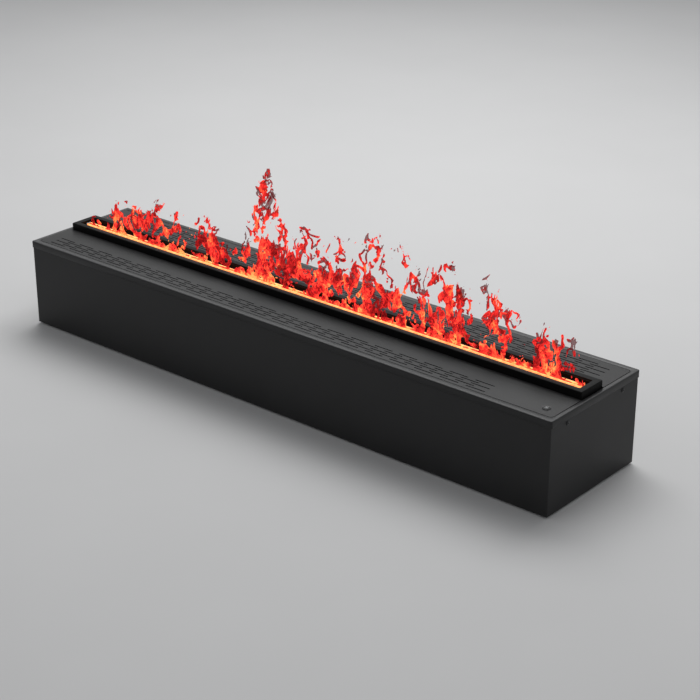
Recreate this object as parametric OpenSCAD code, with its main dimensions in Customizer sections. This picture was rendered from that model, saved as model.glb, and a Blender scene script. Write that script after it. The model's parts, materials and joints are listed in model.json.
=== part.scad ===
// Water-vapour electric fireplace, cassette type: a long low sheet-steel box whose
// raised burner frame sends up a curtain of mist lit from below by two rows of lamps.
// Millimetres. Origin: centre of the footprint, on the surface that the feet stand on.
// +X runs along the box to the right, -Y is the front with the lift-off cover, +Z is up.

/* [Casing] */
// Overall length, over the top frame
body_w = 1200; // [1190:1:1230]
// Overall depth, over the top frame
body_d = 250; // [250:1:256]
// Height of the flat top above the floor
body_h = 170; // [170:1:176]
// Thickness of the casing's steel sheet
sheet = 1.5; // [1.5:0.1:1.6]
// How far the top frame stands out past the walls
overhang = 2; // [2:0.1:2.4]
// Height of the flange that the top frame folds down over the walls
flange_h = 12.5; // [11:0.5:14]
// Width of the lip in front of and behind the covers
lip_w = 12; // [11:0.5:13]
// Thickness of the foot pads
pad_h = 3; // [3:0.1:3.2]

/* [Burner] */
// Length of the raised burner frame
burner_w = 1180; // [1176:1:1182]
// Depth of the raised burner frame
burner_d = 60; // [59:0.5:61]
// Height of the burner frame above the flat top
burner_rise = 12.5; // [11:0.5:14]
// Width of the burner frame's flat rim
rim_w = 12; // [11.5:0.1:12]
// Half width of the gap that the mist rises through
gap_half = 3.2; // [3:0.1:3.4]
// Height of the tallest tongue of mist above the gap
plume_h = 218; // [120:1:240]

/* [Vents] */
// Length of one vent slot
vent_l = 38; // [28:1:38]
// Width of one vent slot
vent_w = 2.4; // [2:0.1:3]
// Distance between neighbouring slots in a row
vent_pitch = 52; // [50:1:53]

/* [Moving parts] */
// Centre of the power button along the box, from the middle
button_x = 566; // [556:1:570]
// Travel of the power button
button_travel = 1.2; // [0.6:0.1:1.4]
// Tilt of the mains rocker either side of level, in degrees
rocker_tilt = 8; // [6:0.5:8]
// Travel of the tank's float
float_travel = 80; // [40:5:84]

/* [Hidden] */
$fn = 48;
e = 0.01;
wall_x = body_w / 2 - overhang;
wall_y = body_d / 2 - overhang;
in_x = wall_x - sheet;
in_y = wall_y - sheet;
floor_z = pad_h + sheet;
deck_z = body_h - sheet;
ledge_z = deck_z - sheet;
burner_x = burner_w / 2;
burner_y = burner_d / 2;
burner_top = body_h + burner_rise;
trough_x = burner_x - rim_w;
trough_y = burner_y - rim_w;
open_x = body_w / 2 - 8;
open_y = body_d / 2 - lip_w;
cover_gap = 1;
ledge_w = 8;

// Mist duct: half length, seat of the lamps, and the levels of its folds
duct_x = trough_x - 3;
seat_z = body_h - 5;
plate_z = body_h + 2.6;
throat_y = 12;
hood_y = 34;
hood_low_z = 63;
hood_bend_z = 118;
hood_neck_z = 146;
lamp_x = duct_x - 0.2;

// Tray under the duct
tray_x = duct_x - 5;
tray_y = 32;
tray_low = 14;
tray_top = 62;
tray_wall = 2;
plate_top = tray_low + 2;
rim_y = 44;
head_count = 8;
head_pitch = 140;
head_r = 10;
hose_r = 5;
hose_bore = 3.5;
hose_wall = 2;
pipe_z = 24;
feed_x = 479;
drain_x = 300;

// Fans on the back of the duct
fan_xs = [-340, 0, 340];
fan_z = 91;
fan_w = 50;
fan_t = 15;
fan_y = hood_y + sheet / 2;
fan_bore = 23.5;

// Tank in the front bay
tank_a = [-250, -118, floor_z];
tank_b = [430, -47, 142];
tank_wall = 2.5;
tank_y = -82;
cap_x = 360;
neck_r = 18;
neck_top = 153;
stem_x = 250;
stem_r = 3;
float_low = 20;
outlet_z = 16;

// Boards and mains parts in the rear bay
board_z = 12.5;
board_y = [60, 116];
inlet_x = 520;
switch_x = 470;
socket_z = 60;
rocker_y = wall_y - 4;
drain_y = 106;

button_y = -90;
button_r = 5;
bezel_r = 7;
neck_out = 5.8;
neck_low = body_h - 10;
bracket_xs = [-500, -180, 180, 500];
screw_y = 78;
screw_z = 150;
fixing_x = 500;
fixing_y = 100;

steel_black = [0.07, 0.07, 0.08];
zinc = [0.72, 0.74, 0.75];
plastic_dark = [0.12, 0.12, 0.13];
plastic_white = [0.85, 0.86, 0.84];
board_green = [0.05, 0.30, 0.16];
brass_tone = [0.80, 0.62, 0.28];
lamp_orange = [1.0, 0.55, 0.20];

// ---- shapes that repeat ----

// Box between two opposite corners
module block(a, b) {
    translate(a) cube([b[0] - a[0], b[1] - a[1], b[2] - a[2]]);
}

// Flat rectangle with true round corners, centred
module round_rect(w, d, r) {
    square([w - 2 * r, d], center = true);
    square([w, d - 2 * r], center = true);
    for (sx = [-1, 1], sy = [-1, 1]) {
        translate([sx * (w / 2 - r), sy * (d / 2 - r)]) circle(r);
    }
}

// Upright ring with round corners, between two levels
module ring(w, d, r, w_in, d_in, r_in, z0, z1) {
    translate([0, 0, z0]) linear_extrude(z1 - z0) difference() {
        round_rect(w, d, r);
        round_rect(w_in, d_in, r_in);
    }
}

// Folded sheet seen from its end: each fold has a round outside, points run in Y and Z
module folded(points, t) {
    for (i = [0 : len(points) - 2]) {
        p = points[i];
        q = points[i + 1];
        run = norm(q - p);
        translate(p) rotate(atan2(q[1] - p[1], q[0] - p[0])) translate([0, -t / 2]) square([run, t]);
    }
    for (i = [1 : 1 : len(points) - 2]) {
        translate(points[i]) circle(t / 2);
    }
}

// Push a shape drawn in Y and Z along X
module along_x(x0, x1) {
    translate([x0, 0, 0]) rotate([90, 0, 90]) linear_extrude(x1 - x0) children();
}

// Round bar along X or along Y
module bar_x(x0, x1, y, z, r) {
    translate([x0, y, z]) rotate([0, 90, 0]) cylinder(h = x1 - x0, r = r);
}

module bar_y(y0, y1, x, z, r) {
    translate([x, y0, z]) rotate([-90, 0, 0]) cylinder(h = y1 - y0, r = r);
}

// Lead that runs straight between hand-picked corners, with a small knuckle at each
module lead(points, r) {
    for (i = [0 : len(points) - 2]) {
        p = points[i];
        d = points[i + 1] - p;
        len_xy = norm([d[0], d[1]]);
        translate(p) rotate([0, atan2(len_xy, d[2]), atan2(d[1], d[0])]) cylinder(h = norm(d), r = r);
    }
    for (i = [1 : 1 : len(points) - 2]) {
        translate(points[i]) sphere(r + 0.1);
    }
}

// One vent slot with round ends, flat
module vent_slot() {
    square([vent_l - vent_w, vent_w], center = true);
    for (s = [-1, 1]) {
        translate([s * (vent_l - vent_w) / 2, 0]) circle(vent_w / 2, $fn = 24);
    }
}

// Rows of slots laid like bricks: every second row sits half a pitch along, one slot short
module vent_rows(x0, count, y0, rows, row_pitch) {
    for (row = [0 : rows - 1], i = [0 : count - 1 - row % 2]) {
        translate([x0 + (i + (row % 2) / 2) * vent_pitch, y0 + row * row_pitch]) vent_slot();
    }
}

// ---- casing ----

module bottom_pan() color(zinc) difference() {
    union() {
        block([-in_x, -in_y, pad_h], [in_x, in_y, floor_z]);
        for (s = [-1, 1]) {
            block([-in_x, s * in_y - (s > 0 ? sheet : 0), floor_z - e],
                [in_x, s * in_y + (s > 0 ? 0 : sheet), 18]);
            block([s * in_x - (s > 0 ? sheet : 0), -in_y, floor_z - e],
                [s * in_x + (s > 0 ? 0 : sheet), in_y, 18]);
        }
    }
    for (sx = [-1, 1], sy = [-1, 1]) {
        translate([sx * fixing_x, sy * fixing_y, 0]) cylinder(h = 20, r = 2.75);
    }
    translate([drain_x, drain_y, 0]) cylinder(h = 20, r = 4.6);
    block([drain_x - 12, in_y - 3, 12], [drain_x + 12, in_y + 1, 20]);
    for (i = [-5 : 5]) {
        block([i * 12 - 420, -100, 0], [i * 12 - 417, -60, 10]);
    }
}

module foot_pads() color([0.05, 0.05, 0.05]) for (sx = [-1, 1], sy = [-1, 1]) {
    translate([sx * 560, sy * 95, 0]) cylinder(h = pad_h, r = 15);
}

module front_panel() color(steel_black) {
    block([-wall_x, -wall_y, pad_h], [wall_x, -in_y, deck_z]);
}

module rear_panel() color(steel_black) difference() {
    block([-wall_x, in_y, pad_h], [wall_x, wall_y, deck_z]);
    block([inlet_x - 14, in_y - 1, socket_z - 10.2], [inlet_x + 14, wall_y + 1, socket_z + 10.2]);
    block([switch_x - 6.6, in_y - 1, socket_z - 10.6], [switch_x + 6.6, wall_y + 1, socket_z + 10.6]);
    bar_y(in_y - 1, wall_y + 1, drain_x, pipe_z, 8.1);
    for (s = [-1, 1]) {
        bar_y(in_y - 1, wall_y + 1, inlet_x + s * 20, socket_z, 1.55);
    }
}

module side_panel() color(steel_black) difference() {
    union() {
        block([in_x, -in_y, pad_h], [wall_x, in_y, deck_z]);
        for (s = [-1, 1]) {
            block([in_x - 12, s > 0 ? in_y - sheet : -in_y, 19],
                [in_x + e, s > 0 ? in_y : -in_y + sheet, ledge_z - 2]);
        }
    }
    for (s = [-1, 1]) {
        bar_x(in_x - 1, wall_x + 1, s * screw_y, screw_z, 2.05);
    }
}

module left_panel() mirror([1, 0, 0]) side_panel();

module right_panel() side_panel();

// Angle plates inside the side walls that the top frame and burner frame rest on
module end_brackets() color(zinc) for (s = [0, 1]) mirror([s, 0, 0]) difference() {
    union() {
        block([in_x - sheet, -100, 20], [in_x, 100, ledge_z]);
        block([in_x - 16.5, -100, ledge_z - sheet], [in_x - sheet + e, 100, ledge_z]);
    }
    block([in_x - 20, -14, ledge_z - 3], [in_x - sheet - 0.5, 14, ledge_z + 1]);
    for (t = [-1, 1]) {
        bar_x(in_x - 3, in_x + 1, t * screw_y, screw_z, 2.05);
    }
}

module side_screws() color([0.1, 0.1, 0.1]) for (s = [0, 1], t = [-1, 1]) mirror([s, 0, 0]) {
    difference() {
        union() {
            bar_x(wall_x, wall_x + 1.6, t * screw_y, screw_z, 3.8);
            bar_x(in_x - 5, wall_x + e, t * screw_y, screw_z, 2);
        }
        translate([wall_x + 0.6, t * screw_y, screw_z]) rotate([0, 90, 0]) cylinder(h = 3, r = 1.3, $fn = 6);
    }
}

// Lid ring: flat lips, flange folded down over the walls, and the ledge under the covers
module top_frame() color(steel_black) {
    ring(body_w, body_d, 4, 2 * open_x, 2 * open_y, 7, deck_z, body_h);
    ring(body_w, body_d, 4, body_w - 2 * sheet, body_d - 2 * sheet, 1.4, body_h - flange_h, deck_z + e);
    difference() {
        ring(2 * in_x - 5, 2 * in_y - 5, 4, 2 * (open_x - ledge_w), 2 * (open_y - ledge_w), 6,
            ledge_z, deck_z);
        block([-body_w, -burner_y - 11.5, ledge_z - 1], [body_w, burner_y + 11.5, deck_z + 1]);
    }
}

// Flat cover between a lip and the burner frame, drawn for the front
module cover_outline() {
    y0 = -open_y + cover_gap;
    y1 = -burner_y - 1.2;
    translate([0, (y0 + y1) / 2]) round_rect(2 * (open_x - cover_gap), y1 - y0, 6);
    translate([0, y1 - 5]) square([2 * (open_x - cover_gap), 10], center = true);
}

module front_cover() color(steel_black) translate([0, 0, deck_z]) linear_extrude(sheet) difference() {
    cover_outline();
    vent_rows(-548, 20, -104, 5, 6.5);
    translate([button_x, button_y]) circle(neck_out + 0.05);
}

module rear_cover() color(steel_black) translate([0, 0, deck_z]) linear_extrude(sheet) difference() {
    mirror([0, 1]) cover_outline();
    vent_rows(-548, 22, 50, 8, 7);
}

// Straps from the walls to the mist duct that hold the inner edges of the covers
module cover_brackets() color(zinc) for (x = bracket_xs, s = [0, 1]) mirror([0, s, 0]) {
    block([x - 8, -in_y, ledge_z - sheet], [x + 8, -hood_y - sheet / 2, ledge_z]);
    block([x - 8, -in_y, ledge_z - 17], [x + 8, -in_y + sheet, ledge_z - sheet + e]);
    block([x - 8, -hood_y - sheet * 1.5, 100], [x + 8, -hood_y - sheet / 2, ledge_z - sheet + e]);
}

// ---- burner ----

// Rectangular ring with square corners, between two levels
module frame_ring(x_out, y_out, x_in, y_in, z0, z1) difference() {
    block([-x_out, -y_out, z0], [x_out, y_out, z1]);
    block([-x_in, -y_in, z0 - 1], [x_in, y_in, z1 + 1]);
}

module burner_frame() color([0.05, 0.05, 0.055]) {
    frame_ring(burner_x, burner_y, burner_x - sheet, burner_y - sheet, ledge_z, burner_top);
    frame_ring(burner_x, burner_y, trough_x, trough_y, burner_top - sheet, burner_top);
    frame_ring(trough_x + sheet, trough_y + sheet, trough_x, trough_y, plate_z + 1.4, burner_top);
    for (s = [0, 1]) mirror([0, s, 0]) {
        block([-burner_x, -burner_y - 10, ledge_z], [burner_x, -burner_y + e, deck_z]);
    }
}

// Floor of the trough on one side of the gap, with the leg that fixes it to the frame
module mist_plate_front() color([0.06, 0.06, 0.07]) {
    block([-trough_x, -trough_y, plate_z], [trough_x, -gap_half - 2.6, plate_z + sheet]);
    block([-trough_x, -trough_y, plate_z + sheet - e], [trough_x, -trough_y + sheet, burner_top - 2.5]);
}

module mist_plate_rear() mirror([0, 1, 0]) mist_plate_front();

// Light guide: a foot over the lamps and a thin fin that shines beside the gap
module led_diffuser_front() color(lamp_orange) {
    block([-lamp_x, -gap_half - 7.8, seat_z + 2.4], [lamp_x, -gap_half, seat_z + 4.8]);
    block([-lamp_x, -gap_half - 2.4, seat_z + 4.8 - e], [lamp_x, -gap_half, plate_z + 5]);
}

module led_diffuser_rear() mirror([0, 1, 0]) led_diffuser_front();

// Two lamp strips: a thin board and a row of square lamps every 16.6 mm
module led_strips() color([0.95, 0.9, 0.8]) for (s = [0, 1]) mirror([0, s, 0]) {
    block([-lamp_x, -gap_half - 7.8, seat_z], [lamp_x, -gap_half - 0.4, seat_z + 0.6]);
    lamp_pitch = 2 * lamp_x / 69;
    for (i = [0 : 68]) {
        x = -lamp_x + lamp_pitch * (i + 0.5);
        block([x - 2.5, -gap_half - 6.5, seat_z + 0.6 - e], [x + 2.5, -gap_half - 1.5, seat_z + 2.2]);
    }
}

module slot_end_caps() color([0.45, 0.44, 0.42]) for (s = [0, 1]) mirror([s, 0, 0]) {
    block([duct_x, -gap_half - 2.4, seat_z], [trough_x - 0.1, gap_half + 2.4, plate_z + 5.3]);
}

// ---- mist duct ----

// Half of the duct, folded from one sheet: foot, wall, slope, throat and lamp seat
module hood_half() {
    along_x(-duct_x, duct_x) folded([
        [-rim_y, hood_low_z + sheet / 2],
        [-hood_y, hood_low_z + sheet / 2],
        [-hood_y, hood_bend_z],
        [-throat_y, hood_neck_z],
        [-throat_y, seat_z - sheet / 2],
        [-gap_half - 0.4, seat_z - sheet / 2]
    ], sheet);
}

module hood_front() color(zinc) hood_half();

module hood_rear() color(zinc) difference() {
    mirror([0, 1, 0]) hood_half();
    for (x = fan_xs) {
        bar_y(hood_y - 3, hood_y + 3, x, fan_z, 23);
        for (sx = [-1, 1], sz = [-1, 1]) {
            bar_y(hood_y - 3, hood_y + 3, x + sx * 20, fan_z + sz * 20, 1.55);
        }
    }
}

module hood_ends() color(zinc) for (x = [-duct_x - sheet, duct_x]) along_x(x, x + sheet) polygon([
    [-hood_y - 0.75, hood_low_z], [hood_y + 0.75, hood_low_z], [hood_y + 0.75, hood_bend_z],
    [throat_y + 0.75, hood_neck_z], [throat_y + 0.75, seat_z], [-throat_y - 0.75, seat_z],
    [-throat_y - 0.75, hood_neck_z], [-hood_y - 0.75, hood_bend_z]
]);

// ---- water tray and atomisers ----

function head_x(i) = (i - (head_count - 1) / 2) * head_pitch;

// Moulded walls of the tray with the rim that the duct stands on
module atomiser_tray() color(plastic_white) difference() {
    union() {
        block([-tray_x, -tray_y, plate_top], [tray_x, tray_y, tray_top]);
        block([-duct_x - 2.5, -rim_y, tray_top - 2], [duct_x + 2.5, rim_y, tray_top]);
    }
    block([-tray_x + tray_wall, -tray_y + tray_wall, 0], [tray_x - tray_wall, tray_y - tray_wall, 70]);
    bar_y(-tray_y - 1, 0, feed_x, pipe_z, hose_r + 0.05);
    bar_y(0, tray_y + 1, drain_x, pipe_z, hose_r + 0.05);
}

// Steel floor of the tray, with a hole over each atomiser
module atomiser_plate() color(zinc) difference() {
    block([-tray_x, -tray_y, tray_low], [tray_x, tray_y, plate_top]);
    for (i = [0 : head_count - 1]) {
        translate([head_x(i), 0, 10]) cylinder(h = 10, r = head_r);
    }
}

// Pipe through a wall of the tray, with a collar outside, drawn at the rear
module tray_spigot(x) {
    difference() {
        union() {
            bar_y(tray_y - tray_wall, rim_y + 2, x, pipe_z, hose_r);
            bar_y(tray_y, tray_y + 1, x, pipe_z, hose_r + hose_wall);
        }
        bar_y(0, rim_y + 3, x, pipe_z, hose_bore);
    }
}

module tray_spigots() color(brass_tone) {
    mirror([0, 1, 0]) tray_spigot(feed_x);
    tray_spigot(drain_x);
}

module tray_seal() color([0.08, 0.08, 0.08]) {
    frame_ring(duct_x + 2, rim_y, tray_x - 1.5, tray_y + 0.5, tray_top, hood_low_z);
}

module tray_saddles() color(plastic_dark) for (x = [-560, -280, 0, 280, 560]) {
    block([x - 8, -30, floor_z], [x + 8, 30, tray_low]);
}

module transducer_holders() color(plastic_dark) for (i = [0 : head_count - 1]) {
    translate([head_x(i), 0, 0]) difference() {
        translate([0, 0, 7]) cylinder(h = 7, r = 17);
        translate([0, 0, 11]) cylinder(h = 4, r = head_r);
        translate([0, 0, 6]) cylinder(h = 7, r = 8);
    }
}

module transducer_discs() color(brass_tone) for (i = [0 : head_count - 1]) {
    translate([head_x(i), 0, 11]) cylinder(h = 1.5, r = head_r);
}

// ---- fans ----

module fan_housings() color(plastic_dark) for (x = fan_xs) translate([x, fan_y, fan_z]) {
    difference() {
        block([-fan_w / 2, 0, -fan_w / 2], [fan_w / 2, fan_t, fan_w / 2]);
        bar_y(-1, fan_t + 1, 0, 0, fan_bore);
        for (sx = [-1, 1], sz = [-1, 1]) {
            bar_y(-1, fan_t + 1, sx * 20, sz * 20, 1.6);
        }
    }
    bar_y(fan_t - 2, fan_t, 0, 0, 10);
    bar_y(1.5, fan_t - 1, 0, 0, 1.5);
    for (a = [90, 210, 330]) {
        rotate([0, a, 0]) block([8, fan_t - 2, -1.5], [fan_bore + 1, fan_t, 1.5]);
    }
}

// Impeller: cup-shaped hub on a pin, seven slanted blades
module fan_rotor(x) color([0.16, 0.16, 0.17]) translate([x, fan_y, fan_z]) difference() {
    union() {
        bar_y(2, 12, 0, 0, 10.5);
        intersection() {
            bar_y(1, 13, 0, 0, 22.6);
            for (i = [0 : 6]) {
                rotate([0, i * 360 / 7, 0]) translate([9, 7, 0]) rotate([38, 0, 0])
                    block([0, -0.6, -6.5], [14, 0.6, 6.5]);
            }
        }
    }
    bar_y(0, 14, 0, 0, 1.55);
}

module fan_rotor_left() fan_rotor(fan_xs[0]);

module fan_rotor_centre() fan_rotor(fan_xs[1]);

module fan_rotor_right() fan_rotor(fan_xs[2]);

module fan_screws() color(zinc) for (x = fan_xs, sx = [-1, 1], sz = [-1, 1]) {
    bar_y(fan_y - 3, fan_y + fan_t + e, x + sx * 20, fan_z + sz * 20, 1.5);
    bar_y(fan_y + fan_t, fan_y + fan_t + 1.8, x + sx * 20, fan_z + sz * 20, 2.8);
}

// ---- tank, float and pump ----

module water_tank() color(plastic_white) difference() {
    union() {
        block(tank_a, tank_b);
        bar_x(tank_b[0] - 1, tank_b[0] + 10, tank_y, outlet_z, hose_r);
    }
    block(tank_a + tank_wall * [1, 1, 1], [tank_b[0] - tank_wall, tank_b[1] - tank_wall, tank_b[2] + 1]);
    bar_x(tank_b[0] - 4, tank_b[0] + 11, tank_y, outlet_z, hose_bore);
}

module tank_lid() color([0.75, 0.76, 0.75]) difference() {
    union() {
        block([tank_a[0], tank_a[1], tank_b[2]], [tank_b[0], tank_b[1], tank_b[2] + 3]);
        translate([cap_x, tank_y, tank_b[2] + 1]) cylinder(h = neck_top - tank_b[2] - 1, r = neck_r);
    }
    translate([cap_x, tank_y, tank_b[2] - 1]) cylinder(h = 20, r = neck_r - 3);
    translate([stem_x, tank_y, tank_b[2] - 1]) cylinder(h = 20, r = stem_r + 0.05);
}

// Quarter-turn cap with grip ribs round its skirt
module filler_cap() color([0.10, 0.28, 0.55]) translate([cap_x, tank_y, 0]) difference() {
    union() {
        translate([0, 0, 148]) cylinder(h = 10, r = neck_r + 2.6);
        for (i = [0 : 23]) {
            rotate(i * 15) translate([neck_r + 2, -0.8, 148]) cube([1.6, 1.6, 9]);
        }
    }
    translate([0, 0, 147]) cylinder(h = neck_top + 0.2 - 147, r = neck_r + 0.3);
}

module float_stem() color(zinc) translate([stem_x, tank_y, 0]) {
    translate([0, 0, float_low - 2]) cylinder(h = tank_b[2] + 5 - float_low, r = stem_r);
    translate([0, 0, float_low - 2]) cylinder(h = 2, r = 6);
    translate([0, 0, float_low + 28 + float_travel]) cylinder(h = 2, r = 6);
    translate([0, 0, tank_b[2] + 3]) cylinder(h = 3, r = 8);
}

module tank_float() color([0.9, 0.45, 0.1]) translate([stem_x, tank_y, float_low + 0.1]) difference() {
    cylinder(h = 22, r = 14);
    translate([0, 0, -1]) cylinder(h = 24, r = stem_r + 0.1);
}

module feed_pump() color(plastic_dark) difference() {
    union() {
        block([452, -106, floor_z], [506, -64, 34]);
        translate([479, -85, 34 - e]) cylinder(h = 14, r = 17);
        bar_x(442, 453, tank_y, outlet_z, hose_r);
        bar_y(-65, -50, feed_x, pipe_z, hose_r);
    }
    bar_x(441, 450, tank_y, outlet_z, hose_bore);
    bar_y(-60, -49, feed_x, pipe_z, hose_bore);
}

module feed_hoses() color([0.75, 0.78, 0.78]) {
    difference() {
        bar_x(431, 451, tank_y, outlet_z, hose_r + hose_wall);
        bar_x(430, 452, tank_y, outlet_z, hose_r);
    }
    difference() {
        bar_y(-63, -tray_y - 1, feed_x, pipe_z, hose_r + hose_wall);
        bar_y(-64, -tray_y, feed_x, pipe_z, hose_r);
    }
}

// ---- drain ----

// Plug valve in the rear wall: water leaves straight down through the pan
module drain_valve() color(brass_tone) difference() {
    union() {
        bar_y(80, 93, drain_x, pipe_z, hose_r);
        bar_y(92, in_y, drain_x, pipe_z, 11);
        bar_y(in_y - e, wall_y + e, drain_x, pipe_z, 8);
        bar_y(wall_y, wall_y + 1.2, drain_x, pipe_z, 13);
        translate([drain_x, drain_y, pad_h]) cylinder(h = pipe_z - pad_h - 8, r = 4.5);
    }
    bar_y(79, 99, drain_x, pipe_z, hose_bore);
    bar_y(98, wall_y + 2, drain_x, pipe_z, 5.05);
    translate([drain_x, drain_y, pad_h - 1]) cylinder(h = 18, r = 3);
}

module drain_spindle() color(zinc) difference() {
    bar_y(98.5, wall_y + 1.6, drain_x, pipe_z, 5);
    block([drain_x - 4, wall_y + 0.4, pipe_z - 0.8], [drain_x + 4, wall_y + 2, pipe_z + 0.8]);
    translate([drain_x, drain_y, pipe_z - 8]) cylinder(h = 8, r = 2.6);
    bar_y(98, drain_y, drain_x, pipe_z, 2.6);
}

module drain_hose() color([0.75, 0.78, 0.78]) difference() {
    bar_y(tray_y + 1, 91, drain_x, pipe_z, hose_r + hose_wall);
    bar_y(tray_y, 92, drain_x, pipe_z, hose_r);
}

// ---- electrics ----

module power_supply() color([0.62, 0.63, 0.64]) difference() {
    union() {
        block([-560, 60, floor_z], [-412, 118, 46]);
        block([-412 - e, 64, floor_z], [-400, 114, 22]);
    }
    for (i = [0 : 11]) {
        block([-545 + i * 10, 70, 44.8], [-541 + i * 10, 108, 47]);
    }
}

module board_plate(x0) {
    difference() {
        block([x0, board_y[0], board_z], [x0 + 160, board_y[1], board_z + 1.6]);
        for (x = [x0 + 5, x0 + 155], y = [board_y[0] + 5, board_y[1] - 5]) {
            translate([x, y, board_z - 1]) cylinder(h = 4, r = 1.6);
        }
    }
}

module control_board() color(board_green) {
    top = board_z + 1.6 - e;
    board_plate(40);
    for (i = [0 : 2]) {
        block([50 + i * 22, 90, top], [68 + i * 22, 106, top + 15]);
    }
    for (i = [0 : 2]) {
        translate([62 + i * 20, 74, top]) cylinder(h = 14, r = 6);
    }
    block([130, 70, top], [148, 88, top + 2]);
    block([160, 68, top], [172, 108, top + 9]);
    block([176, 62, top], [190, 76, top + 9]);
}

module driver_board() color(board_green) {
    top = board_z + 1.6 - e;
    board_plate(-160);
    for (i = [0 : head_count - 1]) {
        translate([-150 + i * 19 + 4, 78, top]) cylinder(h = 8, r = 5);
        block([-153 + i * 19, 90, top], [-139 + i * 19, 93, top + 18]);
    }
    block([-120, 98, top], [-60, 104, top + 9]);
}

module board_standoffs() color(brass_tone) for (x0 = [-160, 40], dx = [5, 155], dy = [5, 51]) {
    translate([x0 + dx, board_y[0] + dy, floor_z]) cylinder(h = board_z - floor_z, r = 3);
    translate([x0 + dx, board_y[0] + dy, board_z - e]) cylinder(h = 2.6, r = 1.5);
}

module terminal_block() color(plastic_white) difference() {
    block([400, 66, floor_z], [440, 96, 22]);
    for (i = [0 : 4]) {
        translate([404 + i * 8, 74, 18]) cylinder(h = 6, r = 2.6);
        translate([404 + i * 8, 88, 18]) cylinder(h = 6, r = 2.6);
    }
}

// Flush appliance inlet with three blades
module mains_inlet() color(plastic_dark) {
    difference() {
        union() {
            block([inlet_x - 25, wall_y, socket_z - 12], [inlet_x + 25, wall_y + 1.8, socket_z + 12]);
            block([inlet_x - 13.9, 103, socket_z - 10.1], [inlet_x + 13.9, wall_y + e, socket_z + 10.1]);
        }
        block([inlet_x - 12.2, 108, socket_z - 8.3], [inlet_x + 12.2, wall_y + 3, socket_z + 8.3]);
        for (s = [-1, 1]) {
            bar_y(wall_y - 1, wall_y + 3, inlet_x + s * 20, socket_z, 1.55);
        }
    }
    for (p = [[-7, -2], [0, 3], [7, -2]]) {
        block([inlet_x + p[0] - 1, 97, socket_z + p[1] - 2], [inlet_x + p[0] + 1, 120, socket_z + p[1] + 2]);
    }
}

module inlet_screws() color(zinc) for (s = [-1, 1]) difference() {
    union() {
        bar_y(114, wall_y + 1.8 + e, inlet_x + s * 20, socket_z, 1.5);
        bar_y(wall_y + 1.8, wall_y + 2, inlet_x + s * 20, socket_z, 2.8);
        bar_y(in_y - 3.5, in_y, inlet_x + s * 20, socket_z, 3);
    }
    block([inlet_x + s * 20 - 2, wall_y + 1.2, socket_z - 0.4], [inlet_x + s * 20 + 2, wall_y + 3, socket_z + 0.4]);
}

module switch_body() color(plastic_dark) difference() {
    union() {
        block([switch_x - 8, wall_y, socket_z - 12], [switch_x + 8, wall_y + 1.4, socket_z + 12]);
        block([switch_x - 6.5, 100, socket_z - 10.5], [switch_x + 6.5, wall_y + e, socket_z + 10.5]);
        for (z = [-6, 0, 6]) {
            block([switch_x - 2.4, 92, socket_z + z - 0.4], [switch_x + 2.4, 101, socket_z + z + 0.4]);
        }
    }
    block([switch_x - 5.6, 115.5, socket_z - 9.4], [switch_x + 5.6, wall_y + 3, socket_z + 9.4]);
}

module switch_rocker() color([0.5, 0.06, 0.05]) translate([0, rocker_y, socket_z]) {
    rotate([rocker_tilt, 0, 0]) block([switch_x - 5.3, -1, -8.3], [switch_x + 5.3, 4.4, 8.3]);
}

// ---- power button, carried by the front cover ----

module button_bezel() color([0.03, 0.03, 0.03]) translate([button_x, button_y, 0]) difference() {
    union() {
        translate([0, 0, body_h]) cylinder(h = 1.2, r = bezel_r);
        translate([0, 0, neck_low]) cylinder(h = 10 + e, r = neck_out);
    }
    translate([0, 0, neck_low - 1]) cylinder(h = 14, r = button_r + 0.05);
}

module button_nut() color(zinc) translate([button_x, button_y, deck_z - 3.5]) difference() {
    cylinder(h = 3.5, r = 9.5, $fn = 6);
    translate([0, 0, -1]) cylinder(h = 6, r = neck_out);
}

module power_button() color([0.45, 0.46, 0.47]) translate([button_x, button_y, 0]) {
    translate([0, 0, body_h - 4]) cylinder(h = 4.4 + button_travel, r = button_r);
    translate([0, 0, neck_low - 0.5]) cylinder(h = 6.6, r = 1.5);
}

// Closed coil spring, swept round a helix
module button_spring() {
    turns = 4;
    steps = 20;
    sides = 8;
    wire = 0.3;
    coil = 2.6;
    z_low = neck_low + wire;
    z_high = body_h - 4 - wire;
    rings = turns * steps;
    function spot(i, j) = [
        (coil + wire * cos(j * 360 / sides)) * cos(i * 360 / steps),
        (coil + wire * cos(j * 360 / sides)) * sin(i * 360 / steps),
        z_low + (z_high - z_low) * i / rings + wire * 0.98 * sin(j * 360 / sides)
    ];
    points = [for (i = [0 : rings], j = [0 : sides - 1]) spot(i, j)];
    skin = [for (i = [0 : rings - 1], j = [0 : sides - 1]) [
        i * sides + j,
        (i + 1) * sides + j,
        (i + 1) * sides + (j + 1) % sides,
        i * sides + (j + 1) % sides
    ]];
    low_end = [for (j = [0 : sides - 1]) j];
    high_end = [for (j = [sides - 1 : -1 : 0]) rings * sides + j];
    color(zinc) translate([button_x, button_y, 0])
        polyhedron(points, concat(skin, [low_end], [high_end]), convexity = 6);
}

module button_switch() color(plastic_dark) translate([button_x, button_y, 0]) difference() {
    union() {
        block([-7, -7, neck_low - 12], [7, 7, neck_low]);
        for (s = [-1, 1]) {
            block([s * 4 - 0.4, -1.5, neck_low - 17], [s * 4 + 0.4, 1.5, neck_low - 11]);
        }
    }
    translate([0, 0, neck_low - button_travel - 2.8]) cylinder(h = 6, r = 1.8);
}

// ---- wiring ----

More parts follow.
